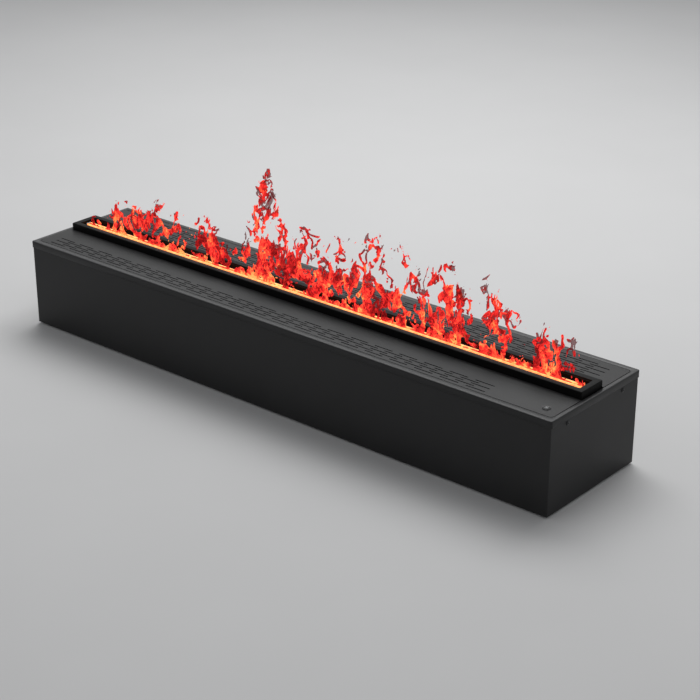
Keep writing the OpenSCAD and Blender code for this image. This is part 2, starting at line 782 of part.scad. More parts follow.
module mains_wiring() color([0.2, 0.2, 0.22]) {
    lead([[inlet_x, 97, socket_z + 3], [inlet_x, 86, socket_z + 3], [inlet_x, 86, 12], [440, 86, 12]], 2.5);
    lead([[400, 80, 12], [380, 80, 12], [380, 56, 12], [-390, 56, 12], [-390, 72, 12], [-400, 72, 12]], 2.5);
}

module led_wiring() color([0.6, 0.1, 0.08]) {
    lead([[190, 69, 18], [212, 69, 18], [212, 69, 76], [582, 69, 76], [582, 8, 76],
        [582, 8, seat_z + 2], [lamp_x, 8, seat_z + 2]], 1.5);
}

// ---- lit mist ----

// Height of the curtain of mist at a place along the slot
function mist_h(x) = 58 + 12 * sin(x * 1.3 + 40) + 9 * sin(x * 3.1)
    + (plume_h - 63) * exp(-pow((x + 96) / 42, 2)) + 36 * exp(-pow((x + 270) / 60, 2))
    + 62 * exp(-pow((x - 100) / 80, 2));

// One tongue of mist: a thin leaf that sways as it narrows to its tip
module mist_tongue(x, w) {
    h = mist_h(x);
    steps = 9;
    function sway(t) = 0.16 * w * sin(t * 260 + x) * t;
    function half(t) = 0.5 * w * (1 - pow(t, 1.7)) + 0.35;
    right_side = [for (i = [0 : steps]) [sway(i / steps) + half(i / steps), h * i / steps]];
    left_side = [for (i = [steps : -1 : 0]) [sway(i / steps) - half(i / steps), h * i / steps]];
    translate([x, 0.6, plate_z + 5.6]) rotate([90, 0, 0]) linear_extrude(1.2) polygon(concat(right_side, left_side));
}

module flame_mist() color([0.95, 0.22, 0.10]) {
    pitch = 48;
    for (i = [-11 : 11]) {
        mist_tongue(i * pitch, pitch * 0.66);
    }
}

bottom_pan();
foot_pads();
front_panel();
rear_panel();
left_panel();
right_panel();
end_brackets();
side_screws();
top_frame();
front_cover();
rear_cover();
cover_brackets();
burner_frame();
mist_plate_front();
mist_plate_rear();
led_diffuser_front();
led_diffuser_rear();
led_strips();
slot_end_caps();
hood_front();
hood_rear();
hood_ends();
atomiser_tray();
atomiser_plate();
tray_spigots();
tray_seal();
tray_saddles();
transducer_holders();
transducer_discs();
fan_housings();
fan_rotor_left();
fan_rotor_centre();
fan_rotor_right();
fan_screws();
water_tank();
tank_lid();
filler_cap();
float_stem();
tank_float();
feed_pump();
feed_hoses();
drain_valve();
drain_spindle();
drain_hose();
power_supply();
control_board();
driver_board();
board_standoffs();
terminal_block();
mains_inlet();
inlet_screws();
switch_body();
switch_rocker();
button_bezel();
button_nut();
power_button();
button_spring();
button_switch();
mains_wiring();
led_wiring();
flame_mist();
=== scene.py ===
# %% [markdown]
# # A cassette fireplace that burns water mist
# This lesson dresses a finished engineering model. The model arrives as loose parts that
# already sit in their places, in metres. The work here is to give each sheet its folds and
# soft edges, each material its finish, and the slot its curtain of lit mist.

# %% Open the frame
import json
import math

import bmesh
import bpy
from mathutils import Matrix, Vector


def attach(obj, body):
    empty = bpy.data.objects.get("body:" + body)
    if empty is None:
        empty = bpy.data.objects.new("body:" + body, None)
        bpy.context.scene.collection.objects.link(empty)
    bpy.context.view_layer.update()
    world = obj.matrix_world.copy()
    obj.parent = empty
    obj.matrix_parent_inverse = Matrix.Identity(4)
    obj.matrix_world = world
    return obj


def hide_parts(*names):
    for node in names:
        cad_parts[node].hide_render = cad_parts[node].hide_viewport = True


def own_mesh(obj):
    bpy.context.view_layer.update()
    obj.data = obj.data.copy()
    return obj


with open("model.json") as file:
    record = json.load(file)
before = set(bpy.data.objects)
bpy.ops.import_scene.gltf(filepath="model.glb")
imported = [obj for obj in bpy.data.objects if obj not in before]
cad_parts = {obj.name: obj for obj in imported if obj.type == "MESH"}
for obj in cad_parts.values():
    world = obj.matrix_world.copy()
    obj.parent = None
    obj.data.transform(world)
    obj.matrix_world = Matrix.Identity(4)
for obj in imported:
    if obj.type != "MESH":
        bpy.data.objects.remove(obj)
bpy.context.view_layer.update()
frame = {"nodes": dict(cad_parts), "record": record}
scene = bpy.context.scene
nodes = frame["nodes"]
record = frame["record"]
body_of_node = {n: b for b, names in record["behaviour"]["bodies"].items() for n in names}
slot_of_node = {row["node"]: row["material_slot"] for row in record["subparts"]}

# %% [markdown]
# ## Camera
# A long lens seen from the front right and a little above keeps the long edges of the box
# almost parallel. The lens is set by its focal length on a 36 mm sensor, with no tilt to
# the side, so uprights stay upright.

# %% Camera
lens = bpy.data.cameras.new("view_camera")
FOCAL_LENGTH, SENSOR_WIDTH = 91.93, 36.0
CAMERA_PLACE = (1.93856, -2.16687, 1.37353)
LOOKS_DOWN, TURNED_LEFT = 24.1035, 40.4273
lens.lens = FOCAL_LENGTH
lens.sensor_width = SENSOR_WIDTH
lens.clip_start = 0.05
lens.clip_end = 60.0
camera = bpy.data.objects.new("view_camera", lens)
camera.location = CAMERA_PLACE
camera.rotation_euler = (math.radians(90 - LOOKS_DOWN), 0.0, math.radians(TURNED_LEFT))
scene.collection.objects.link(camera)
scene.camera = camera
print("lens", FOCAL_LENGTH, "mm, looking down", LOOKS_DOWN, "degrees")

# %% [markdown]
# ## Floor and light
# The stand is a plain pale floor. One wide soft lamp hangs behind and above, so the flat
# top reads as dark grey while the front wall falls into its own shade. A weaker lamp on
# the right draws the end wall. The display transform is the plain one, because a filmic
# curve would wash the saturated red of the mist out to pink.

# %% Floor and light
scene.view_settings.view_transform = "Standard"


def link(obj):
    scene.collection.objects.link(obj)
    return obj


def soft_lamp(name, place, aim, size, power, colour=(1.0, 1.0, 1.0)):
    data = bpy.data.lights.new(name, "AREA")
    data.shape = "RECTANGLE"
    data.size, data.size_y = size
    data.energy = power
    data.color = colour
    lamp = link(bpy.data.objects.new(name, data))
    lamp.location = place
    way = Vector(aim) - Vector(place)
    lamp.rotation_euler = way.to_track_quat("-Z", "Y").to_euler()
    return lamp


soft_lamp("top_softbox", (-0.5, 1.2, 2.5), (0.0, 0.1, 0.1), (2.6, 1.6), 56)
soft_lamp("rear_softbox", (-1.9, 2.3, 1.35), (0.0, 0.0, 0.17), (2.4, 1.3), 8)
soft_lamp("right_softbox", (2.6, 0.6, 1.5), (0.3, 0.0, 0.1), (1.2, 1.2), 2)
soft_lamp("front_fill", (-0.6, -2.8, 1.6), (0.0, 0.0, 0.1), (2.0, 1.4), 2)
sky = bpy.data.worlds.new("studio")
sky.use_nodes = True
sky.node_tree.nodes["Background"].inputs["Color"].default_value = (0.93, 0.94, 0.96, 1)
sky.node_tree.nodes["Background"].inputs["Strength"].default_value = 0.34
scene.world = sky
print("studio lamps:", len(bpy.data.lights))

# %% [markdown]
# ## A short hand for node trees
# Shaders and geometry rules are both trees of small boxes. This helper adds a box, fills
# its sockets with numbers or wires, and returns an output, so that a rule can be written
# almost like a sum.

# %% Short hand for node trees


class Desk:
    """Adds and wires the boxes of one node tree."""

    def __init__(self, tree):
        self.tree = tree

    def put(self, socket, value):
        if isinstance(value, bpy.types.NodeSocket):
            self.tree.links.new(value, socket)
        else:
            socket.default_value = value

    def add(self, kind, inputs=None, **settings):
        box = self.tree.nodes.new(kind)
        for name, value in settings.items():
            setattr(box, name, value)
        for name, value in (inputs or {}).items():
            self.put(box.inputs[name], value)
        return box

    def sum(self, operation, a, b=0.0, clamp=False):
        box = self.add("ShaderNodeMath", {0: a, 1: b}, operation=operation)
        box.use_clamp = clamp
        return box.outputs[0]

    def plus(self, a, b, clamp=False):
        return self.sum("ADD", a, b, clamp)

    def minus(self, a, b):
        return self.sum("SUBTRACT", a, b)

    def times(self, a, b):
        return self.sum("MULTIPLY", a, b)

    def over(self, a, b):
        return self.sum("DIVIDE", a, b)

    def vec(self, operation, a, b=(0.0, 0.0, 0.0)):
        box = self.add("ShaderNodeVectorMath", {0: a, 1: b}, operation=operation)
        return box.outputs[0]

    def join(self, x, y, z):
        return self.add("ShaderNodeCombineXYZ", {0: x, 1: y, 2: z}).outputs[0]

    def split(self, vector):
        return self.add("ShaderNodeSeparateXYZ", {0: vector}).outputs

    def noise(self, vector, scale, detail=3.0, rough=0.5, twist=0.0, give=0):
        box = self.add("ShaderNodeTexNoise", {
            "Vector": vector, "Scale": scale, "Detail": detail,
            "Roughness": rough, "Distortion": twist})
        return box.outputs[give]

    def swirl(self, vector, scale, detail, rough):
        return self.noise(vector, scale, detail, rough, give="Color")

    def span(self, value, a, b, c=0.0, d=1.0):
        return self.add("ShaderNodeMapRange", {0: value, 1: a, 2: b, 3: c, 4: d}).outputs[0]

    def blend(self, factor, a, b):
        box = self.add("ShaderNodeMix", {0: factor, 6: a, 7: b}, data_type="RGBA")
        return box.outputs[2]

    def ramp(self, value, stops):
        box = self.add("ShaderNodeValToRGB", {0: value})
        band = box.color_ramp.elements
        while len(band) < len(stops):
            band.new(0.5)
        for mark, (place, colour) in zip(band, stops):
            mark.position = place
            mark.color = (*colour, 1.0)
        return box.outputs[0]


SOCKETS = {"float": "NodeSocketFloat", "int": "NodeSocketInt", "flag": "NodeSocketBool",
           "mesh": "NodeSocketGeometry", "part": "NodeSocketObject",
           "stuff": "NodeSocketMaterial"}


def new_group(name, family, ins, outs):
    """A node group with named sockets, and the desk to fill it."""
    tree = bpy.data.node_groups.new(name, family)
    for label, (kind, value) in ins.items():
        made = tree.interface.new_socket(label, in_out="INPUT", socket_type=SOCKETS[kind])
        if value is not None:
            made.default_value = value
    for label, kind in outs.items():
        tree.interface.new_socket(label, in_out="OUTPUT", socket_type=SOCKETS[kind])
    desk = Desk(tree)
    return tree, desk, desk.add("NodeGroupInput").outputs, desk.add("NodeGroupOutput").inputs


# %% [markdown]
# ## Effects that several finishes share
# Powder coat dries with a fine orange-peel skin. Zinc shows crystals, turned and drawn
# metal shows lines, moulded plastic shows a spark-eroded grain. Each becomes one group
# with the same two outputs, a tone between 0 and 1 and a height, so a finish can pick its
# grain by name. Two more groups find the edges, which are lightened partly as wear and
# partly as a painted highlight, and the dust that settles on what faces up.

# %% Grain groups


def grain_group(name, draw):
    tree, desk, inp, out = new_group(name, "ShaderNodeTree", {"Scale": ("float", 500.0)},
                                     {"Tone": "float", "Height": "float"})
    place = desk.add("ShaderNodeTexCoord").outputs["Object"]
    tone, height = draw(desk, place, inp["Scale"])
    desk.put(out["Tone"], tone)
    desk.put(out["Height"], height)
    return tree


def draw_peel(d, place, scale):
    skin = d.noise(place, scale, 2.0, 0.55)
    cloud = d.noise(place, d.times(scale, 0.012), 3.0, 0.6)
    fleck = d.noise(place, d.times(scale, 2.6), 1.0, 0.5)
    tone = d.plus(d.times(cloud, 0.62), d.times(fleck, 0.38))
    return d.span(tone, 0.3, 0.7), skin


def draw_spangle(d, place, scale):
    cells = d.add("ShaderNodeTexVoronoi", {"Vector": place, "Scale": scale, "Randomness": 1.0})
    tint = d.split(cells.outputs["Color"])[0]
    streak = d.noise(place, d.times(scale, 3.0), 2.0, 0.6)
    tone = d.plus(d.times(tint, 0.7), d.times(streak, 0.3))
    return tone, d.plus(cells.outputs["Distance"], streak)


def draw_lines(d, place, scale):
    along = d.vec("MULTIPLY", place, (0.03, 1.0, 1.0))
    line = d.noise(along, scale, 3.0, 0.6)
    smear = d.noise(place, d.times(scale, 0.03), 2.0, 0.5)
    return d.plus(d.times(line, 0.6), d.times(smear, 0.4)), line


def draw_moulded(d, place, scale):
    spark = d.add("ShaderNodeTexVoronoi", {"Vector": place, "Scale": scale})
    flow = d.noise(place, d.times(scale, 0.02), 2.0, 0.5, 0.6)
    tone = d.plus(d.times(flow, 0.8), d.times(spark.outputs["Distance"], 0.2))
    return tone, spark.outputs["Distance"]


def draw_board(d, place, scale):
    grid = d.add("ShaderNodeTexBrick", {"Vector": place, "Scale": scale, "Mortar Size": 0.06,
                                        "Color1": (0, 0, 0, 1), "Color2": (0.35, 0.35, 0.35, 1),
                                        "Mortar": (1, 1, 1, 1)})
    speck = d.noise(place, d.times(scale, 9.0), 1.0, 0.5)
    track = d.split(grid.outputs["Color"])[0]
    return d.plus(d.times(track, 0.75), d.times(speck, 0.25)), track


GRAINS = {name: grain_group(name, draw) for name, draw in {
    "peel": draw_peel, "spangle": draw_spangle, "lines": draw_lines,
    "moulded": draw_moulded, "board": draw_board}.items()}
print("grain groups:", sorted(GRAINS))

# %% Wear-and-highlight and dust groups
# Edge mask: sharp edges are lightened, partly as wear and partly as a painted highlight.
wear_and_highlight_tree, desk, inp, out = new_group(
    "edge_wear_and_painted_highlight", "ShaderNodeTree",
    {"Radius": ("float", 0.0008), "Break-up": ("float", 160.0)}, {"Mask": "float"})
rounded = desk.add("ShaderNodeBevel", {"Radius": inp["Radius"]}, samples=4)
flat = desk.add("ShaderNodeNewGeometry")
turn = desk.add("ShaderNodeVectorMath", {0: rounded.outputs[0], 1: flat.outputs["Normal"]},
                operation="DOT_PRODUCT")
edge = desk.span(turn.outputs["Value"], 0.995, 0.8)
patchy = desk.noise(desk.add("ShaderNodeTexCoord").outputs["Object"], inp["Break-up"], 3.0, 0.6)
desk.put(out["Mask"], desk.times(edge, desk.span(patchy, 0.35, 0.6)))

dust_tree, desk, inp, out = new_group(
    "settled_dust", "ShaderNodeTree", {"Scale": ("float", 9.0)}, {"Mask": "float"})
up = desk.split(desk.add("ShaderNodeNewGeometry").outputs["Normal"])[2]
place = desk.add("ShaderNodeTexCoord").outputs["Object"]
film = desk.noise(place, inp["Scale"], 4.0, 0.65)
grit = desk.noise(place, 1400.0, 1.0, 0.5)
lying = desk.times(desk.span(up, 0.5, 0.95), desk.span(film, 0.35, 0.75))
desk.put(out["Mask"], desk.times(lying, desk.span(grit, 0.45, 0.75)))
print("masks:", wear_and_highlight_tree.name, dust_tree.name)

# %% [markdown]
# ## The finishes
# A finish is a base colour, a grain that varies it, a gloss that follows the grain, an
# edge lightened partly as wear and partly as a painted highlight, and a little dust. One
# maker builds them all, so that every part of the fireplace, seen or hidden, has a worked
# surface.

# %% The finish maker
FINISHES = {}


def grey(v):
    return (v, v, v * 1.03)


def finish(slot, grain, scale, colour, rough, metallic=0.0, swing=0.25, gloss_swing=0.1,
           bump=0.1, wear_and_highlight=0.3, wear_and_highlight_colour=None, dust=0.1, coat=0.0, shine=0.5):
    """A material with its colour, grain, gloss, edges lightened partly as wear and partly as a
    painted highlight, and dust.
    """
    stuff = bpy.data.materials.new(slot)
    stuff.use_nodes = True
    d = Desk(stuff.node_tree)
    shader = stuff.node_tree.nodes["Principled BSDF"]
    weave = d.add("ShaderNodeGroup", node_tree=GRAINS[grain])
    weave.inputs["Scale"].default_value = scale
    tone = weave.outputs["Tone"]
    dark = tuple(c * (1 - swing) for c in colour)
    light = tuple(min(1.0, c * (1 + swing)) for c in colour)
    tint = d.blend(tone, (*dark, 1), (*light, 1))
    # Lighter edges: partly wear, partly a painted highlight along the edges.
    edges = d.add("ShaderNodeGroup", node_tree=wear_and_highlight_tree)
    rim = d.times(edges.outputs["Mask"], wear_and_highlight)
    wear_and_highlight_colour = wear_and_highlight_colour or tuple(min(1.0, c * 2.2 + 0.03) for c in colour)
    tint = d.blend(rim, tint, (*wear_and_highlight_colour, 1))
    film = d.add("ShaderNodeGroup", node_tree=dust_tree)
    lying = d.times(film.outputs["Mask"], dust)
    tint = d.blend(lying, tint, (0.30, 0.29, 0.27, 1))
    d.put(shader.inputs["Base Color"], tint)
    matt = d.plus(d.span(tone, 0, 1, rough - gloss_swing, rough + gloss_swing),
                  d.times(lying, 0.4), clamp=True)
    d.put(shader.inputs["Roughness"], matt)
    shader.inputs["Metallic"].default_value = metallic
    shader.inputs["Coat Weight"].default_value = coat
    shader.inputs["Specular IOR Level"].default_value = shine
    relief = d.add("ShaderNodeBump", {"Strength": bump, "Distance": 0.0002,
                                      "Height": weave.outputs["Height"]})
    d.put(shader.inputs["Normal"], relief.outputs[0])
    FINISHES[slot] = stuff


# %% Paint, metal, rubber and plastics
finish("powder_black", "peel", 900, grey(0.016), 0.46, shine=0.3, swing=0.22, gloss_swing=0.05,
       bump=0.22, wear_and_highlight=0.35, wear_and_highlight_colour=grey(0.10), dust=0.10)
# Burner black is darker than the powder coat, partly its own black and partly painted shade on the
# rim and trough; its lighter edges are a painted highlight.
finish("burner_black", "peel", 1300, grey(0.004), 0.50, shine=0.1, swing=0.3, gloss_swing=0.06,
       bump=0.15, wear_and_highlight=0.5, wear_and_highlight_colour=grey(0.10), dust=0.02)
finish("zinc_sheet", "spangle", 160, (0.30, 0.31, 0.32), 0.46, metallic=0.9, swing=0.22,
       gloss_swing=0.12, bump=0.05, wear_and_highlight=0.2)
finish("bright_steel", "lines", 2200, (0.62, 0.63, 0.64), 0.28, metallic=1.0, swing=0.2,
       bump=0.12, wear_and_highlight=0.2, dust=0.03)
finish("black_screw", "lines", 2600, grey(0.035), 0.38, metallic=0.6, swing=0.3, bump=0.15,
       wear_and_highlight=0.6, wear_and_highlight_colour=grey(0.3), dust=0.03)
finish("soft_rubber", "moulded", 1500, grey(0.02), 0.8, swing=0.3, bump=0.3, wear_and_highlight=0.1, dust=0.15)
finish("end_cap_grey", "moulded", 1800, (0.34, 0.33, 0.31), 0.4, swing=0.1, bump=0.08, wear_and_highlight=0.2,
       dust=0.03)
finish("tank_plastic", "moulded", 900, (0.66, 0.69, 0.67), 0.42, swing=0.07, bump=0.06, wear_and_highlight=0.15,
       dust=0.06)
finish("dark_plastic", "moulded", 2000, grey(0.03), 0.5, swing=0.25, bump=0.22, wear_and_highlight=0.3,
       dust=0.08)
finish("plain_brass", "lines", 2400, (0.70, 0.48, 0.18), 0.3, metallic=1.0, swing=0.25, bump=0.1,
       wear_and_highlight=0.3, dust=0.02)
finish("cap_blue", "moulded", 1700, (0.02, 0.07, 0.26), 0.42, swing=0.2, bump=0.15, wear_and_highlight=0.3,
       dust=0.05)
finish("float_orange", "moulded", 700, (0.80, 0.20, 0.03), 0.6, swing=0.15, bump=0.35, wear_and_highlight=0.2,
       dust=0.02)
finish("hose_clear", "lines", 300, (0.60, 0.65, 0.65), 0.22, swing=0.12, bump=0.04, wear_and_highlight=0.0,
       dust=0.04, coat=0.3)
finish("psu_case", "lines", 1900, (0.56, 0.57, 0.58), 0.34, metallic=1.0, swing=0.18, bump=0.1,
       wear_and_highlight=0.25, dust=0.06)
finish("board_green", "board", 90, (0.015, 0.13, 0.055), 0.35, swing=0.45, bump=0.12, wear_and_highlight=0.1,
       dust=0.04)
finish("terminal_white", "moulded", 1500, (0.70, 0.70, 0.66), 0.45, swing=0.08, bump=0.1,
       wear_and_highlight=0.1, dust=0.05)
finish("rocker_red", "moulded", 1900, (0.38, 0.012, 0.01), 0.3, swing=0.18, bump=0.06, wear_and_highlight=0.2,
       dust=0.02)
finish("bezel_black", "moulded", 2400, grey(0.006), 0.2, swing=0.3, gloss_swing=0.05, bump=0.04,
       wear_and_highlight=0.5, wear_and_highlight_colour=grey(0.12), dust=0.02)
finish("button_grey", "lines", 2600, (0.12, 0.125, 0.13), 0.40, metallic=0.3, swing=0.25,
       bump=0.08, wear_and_highlight=0.5, dust=0.02)
finish("lead_grey", "moulded", 1200, grey(0.05), 0.6, swing=0.2, bump=0.15, wear_and_highlight=0.0, dust=0.06)
finish("lead_red", "moulded", 1200, (0.36, 0.015, 0.01), 0.55, swing=0.2, bump=0.15, wear_and_highlight=0.0,
       dust=0.06)
print("plain finishes:", len(FINISHES))

# %% [markdown]
# ## Things that shine
# The two light guides are frosted strips over rows of lamps, so they glow orange with a
# soft rise and fall along their length. The lamp board below is white with square lamps,
# whose light is stronger at each lamp. Both get their colour from where they are along
# the box, with the lamp pitch as the step.

# %% Light guides and lamps
LAMP_PITCH = 2 * 0.5748 / 69


def glowing(slot, low, high, strength, base):
    stuff = bpy.data.materials.new(slot)
    stuff.use_nodes = True
    d = Desk(stuff.node_tree)
    shader = stuff.node_tree.nodes["Principled BSDF"]
    place = d.add("ShaderNodeTexCoord").outputs["Object"]
    x = d.split(place)[0]
    beat = d.sum("COSINE", d.times(x, 2 * math.pi / LAMP_PITCH))
    haze = d.noise(place, 40.0, 3.0, 0.6)
    level = d.plus(d.span(beat, -1, 1, 0.25, 0.6), d.span(haze, 0.3, 0.7, -0.2, 0.4))
    d.put(shader.inputs["Emission Color"], d.blend(level, (*low, 1), (*high, 1)))
    shader.inputs["Emission Strength"].default_value = strength
    d.put(shader.inputs["Base Color"], d.blend(haze, (*base, 1), (*(c * 0.8 for c in base), 1)))
    frost = d.noise(place, 2600.0, 1.0, 0.5)
    d.put(shader.inputs["Roughness"], d.span(frost, 0.3, 0.7, 0.35, 0.6))
    relief = d.add("ShaderNodeBump", {"Strength": 0.1, "Distance": 0.0002, "Height": frost})
    d.put(shader.inputs["Normal"], relief.outputs[0])
    FINISHES[slot] = stuff


glowing("lamp_guide", (1.0, 0.20, 0.045), (1.0, 0.50, 0.16), 1.5, (0.8, 0.35, 0.15))
glowing("lamp_strip", (0.9, 0.30, 0.10), (1.0, 0.62, 0.28), 1.2, (0.75, 0.70, 0.6))
print("lamp pitch:", round(LAMP_PITCH * 1000, 2), "mm")

# %% [markdown]
# The mist is thousands of droplets lit from below. Close to the lamps it is yellow orange,
# then a strong red, and it dies into dark red wisps. Inside it, threads of thicker mist
# shine brighter than the hollows between them. The rule that grows the mist later leaves
# an attribute called rise on its surface, 0 at the slot and 1 at the local tip.

# %% Lit mist
FLAME_STOPS = (
    (0.00, (0.085, 0.0008, 0.002)), (0.18, (0.20, 0.002, 0.004)),
    (0.36, (0.52, 0.008, 0.012)), (0.54, (0.94, 0.024, 0.026)),
    (0.70, (1.0, 0.075, 0.040)), (0.86, (1.0, 0.20, 0.055)), (1.00, (1.0, 0.46, 0.13)))


def mist_finish():
    stuff = bpy.data.materials.new("lit_mist")
    stuff.use_nodes = True
    d = Desk(stuff.node_tree)
    shader = stuff.node_tree.nodes["Principled BSDF"]
    place = d.add("ShaderNodeTexCoord").outputs["Object"]
    rise = d.add("ShaderNodeAttribute", attribute_name="rise").outputs["Fac"]
    z = d.split(place)[2]
    stretched = d.vec("MULTIPLY", place, (1.0, 1.0, 0.55))
    bent = d.vec("ADD", stretched, d.vec(
        "MULTIPLY", d.swirl(place, 45.0, 2.0, 0.5), (0.022, 0.022, 0.022)))
    threads = d.noise(bent, 150.0, 4.0, 0.62)
    ridge = d.minus(1.0, d.sum("ABSOLUTE", d.span(threads, 0.25, 0.75, -1.0, 1.0)))
    cloud = d.noise(bent, 42.0, 3.0, 0.6)
    root = d.span(z, 0.1775, 0.1850, 0.24, 0.0)
    level = d.plus(d.span(ridge, 0.2, 1.0, -0.10, 0.50), d.span(cloud, 0.36, 0.64, -0.22, 0.54))
    level = d.plus(level, root)
    level = d.minus(level, d.span(rise, 0.2, 1.1, 0.0, 0.28))
    d.put(shader.inputs["Emission Color"], d.ramp(level, FLAME_STOPS))
    shader.inputs["Emission Strength"].default_value = 1.1
    d.put(shader.inputs["Base Color"], d.ramp(level, ((0.0, (0.02, 0.002, 0.002)),
                                                      (1.0, (0.5, 0.06, 0.02)))))
    d.put(shader.inputs["Roughness"], d.span(threads, 0.3, 0.7, 0.6, 0.95))
    shader.inputs["Specular IOR Level"].default_value = 0.1
    d.put(shader.inputs["Alpha"], d.span(level, 0.02, 0.36, 0.55, 1.0))
    stuff.cycles.emission_sampling = "NONE"
    FINISHES["lit_mist"] = stuff


mist_finish()
print("finishes:", len(FINISHES))

# %% [markdown]
# ## Dress the parts that keep their shape
# Every part gets the finish of its slot. A part that is replaced further down passes its
# finish on.

# %% Dress every part
for name, obj in nodes.items():
    obj.data.materials.clear()
    obj.data.materials.append(FINISHES[slot_of_node[name]])
print("parts dressed:", len(nodes))

# %% [markdown]
# ## Helpers for making pieces
# A piece is a mesh that stands where its part stands, rides with the same body and carries
# the same slot. Three ways of making one are used again and again: a loft between rings
# of points, a turned profile, and a copy of an engineering part whose loose triangles are
# welded so that a bevel can round its edges.

# %% Helpers for making pieces


def register(piece, node):
    """Rides the piece on the body of the part that it stands for, and hides that part."""
    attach(piece, body_of_node[node])
    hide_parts(node)
    if not piece.data.materials:
        piece.data.materials.append(FINISHES[slot_of_node[node]])
    print(piece.name, "faces:", len(piece.data.polygons))
    return piece


def smooth(mesh, angle=35):
    mesh.shade_smooth()
    mesh.set_sharp_from_angle(angle=math.radians(angle))


def mesh_piece(name, verts, faces, angle=35, weld=1e-6):
    mesh = bpy.data.meshes.new(name)
    mesh.from_pydata([tuple(v) for v in verts], [], faces)
    work = bmesh.new()
    work.from_mesh(mesh)
    bmesh.ops.remove_doubles(work, verts=work.verts, dist=weld)
    bmesh.ops.recalc_face_normals(work, faces=work.faces)
    work.to_mesh(mesh)
    work.free()
    smooth(mesh, angle)
    return link(bpy.data.objects.new(name, mesh))


def second_finish(piece, stuff, picks):
    """Gives a second finish to the faces that the test picks."""
    piece.data.materials.append(stuff)
    for face in piece.data.polygons:
        if picks(face):
            face.material_index = len(piece.data.materials) - 1


def rounded_loop(half_x, half_y, r, z, steps=6):
    """Points round a rectangle with round corners, counter-clockwise from the right."""
    points = []
    for k, (sx, sy) in enumerate(((1, 1), (-1, 1), (-1, -1), (1, -1))):
        for i in range(steps + 1):
            a = math.pi / 2 * (k + i / steps)
            points.append((sx * (half_x - r) + r * math.cos(a),
                           sy * (half_y - r) + r * math.sin(a), z))
    return points


def loft(loops, closed=False):
    """Verts and faces of a skin through rings of equal length."""
    n = len(loops[0])
    verts = [p for ring in loops for p in ring]
    faces = []
    last = len(loops) if closed else len(loops) - 1
    for j in range(last):
        a, b = j * n, ((j + 1) % len(loops)) * n
        for i in range(n):
            k = (i + 1) % n
            faces.append((a + i, a + k, b + k, b + i))
    if not closed:
        faces.append(tuple(reversed(range(n))))
        faces.append(tuple((len(loops) - 1) * n + i for i in range(n)))
    return verts, faces


def gather(*parts):
    """Joins several lots of verts and faces into one."""
    verts, faces = [], []
    for more_verts, more_faces in parts:
        faces += [tuple(i + len(verts) for i in f) for f in more_faces]
        verts += list(more_verts)
    return verts, faces


def slab(a, b, soft=0.0003):
    """Box between two corners with a small chamfer round its top and bottom."""
    cx, cy = (a[0] + b[0]) / 2, (a[1] + b[1]) / 2
    hx, hy = (b[0] - a[0]) / 2, (b[1] - a[1]) / 2
    rings = [(soft, a[2]), (0.0, a[2] + soft), (0.0, b[2] - soft), (soft, b[2])]
    loops = [[(cx + x, cy + y, z) for x, y, z in rounded_loop(hx - s, hy - s, soft, z, 2)]
             for s, z in rings]
    return loft(loops)


def turned(profile, centre=(0, 0), steps=64):
    """Turns a profile of (radius, height) pairs round an upright line through the centre."""
    cx, cy = centre
    loops = []
    for r, h in profile:
        ring = []
        for i in range(steps):
            a = 2 * math.pi * i / steps
            ring.append((cx + r * math.cos(a), cy + r * math.sin(a), h))
        loops.append(ring)
    return loft(loops)


def softened(node, name, width=0.0004, segments=2, angle=30):
    """Copy of an engineering part, welded and flattened, with its edges rounded."""
    mesh = nodes[node].data.copy()
    mesh.name = name
    work = bmesh.new()
    work.from_mesh(mesh)
    bmesh.ops.remove_doubles(work, verts=work.verts, dist=2e-6)
    bmesh.ops.dissolve_limit(work, angle_limit=math.radians(0.6), verts=work.verts,
                             edges=work.edges)
    work.to_mesh(mesh)
    work.free()
    mesh.shade_smooth()
    piece = link(bpy.data.objects.new(name, mesh))
    rounding = piece.modifiers.new("rounded_edges", "BEVEL")
    rounding.width = width
    rounding.segments = segments
    rounding.limit_method = "ANGLE"
    rounding.angle_limit = math.radians(angle)
    even = piece.modifiers.new("flat_faces_stay_flat", "WEIGHTED_NORMAL")
    even.keep_sharp = True
    return register(piece, node)


# %% [markdown]
# ## Rules that grow repeated things
# A geometry rule is a node tree with named sizes. It is run on an empty mesh, its result
# is kept as a plain mesh and the modifier is taken off again, so that nothing is left to
# be worked out later.

# %% Running a rule


def new_rule(name, ins):
    return new_group(name, "GeometryNodeTree", {"Geometry": ("mesh", None), **ins},
                     {"Geometry": "mesh"})


def close_rule(desk, out, geometry, material):
    """Every rule ends in real geometry with its finish set."""
    real = desk.add("GeometryNodeRealizeInstances", {"Geometry": geometry})
    done = desk.add("GeometryNodeSetMaterial", {"Geometry": real.outputs[0],
                                                "Material": material})
    desk.put(out["Geometry"], done.outputs[0])


def grow(name, tree, sizes):
    """Runs a rule with these sizes and keeps the plain mesh that it makes."""
    piece = link(bpy.data.objects.new(name, bpy.data.meshes.new(name + "_seed")))
    rule = piece.modifiers.new("rule", "NODES")
    rule.node_group = tree
    for item in tree.interface.items_tree:
        if item.item_type == "SOCKET" and item.in_out == "INPUT" and item.name in sizes:
            rule[item.identifier] = sizes[item.name]
    graph = bpy.context.evaluated_depsgraph_get()
    made = bpy.data.meshes.new_from_object(piece.evaluated_get(graph),
                                           preserve_all_data_layers=True, depsgraph=graph)
    piece.modifiers.clear()
    piece.data = made
    made.name = name
    return piece


# %% [markdown]
# ## The two covers and their vents
# Each cover is a flat sheet with rows of punched slots laid like bricks: every second row
# sits half a pitch along and is one slot short. Cutting 270 holes one by one would be slow
# and easy to get wrong. Here the outline and all the slots are drawn as flat curves, one
# fill turns them into a sheet with holes, and one extrusion gives it its thickness. The
# front cover has a round hole too, for the power button.

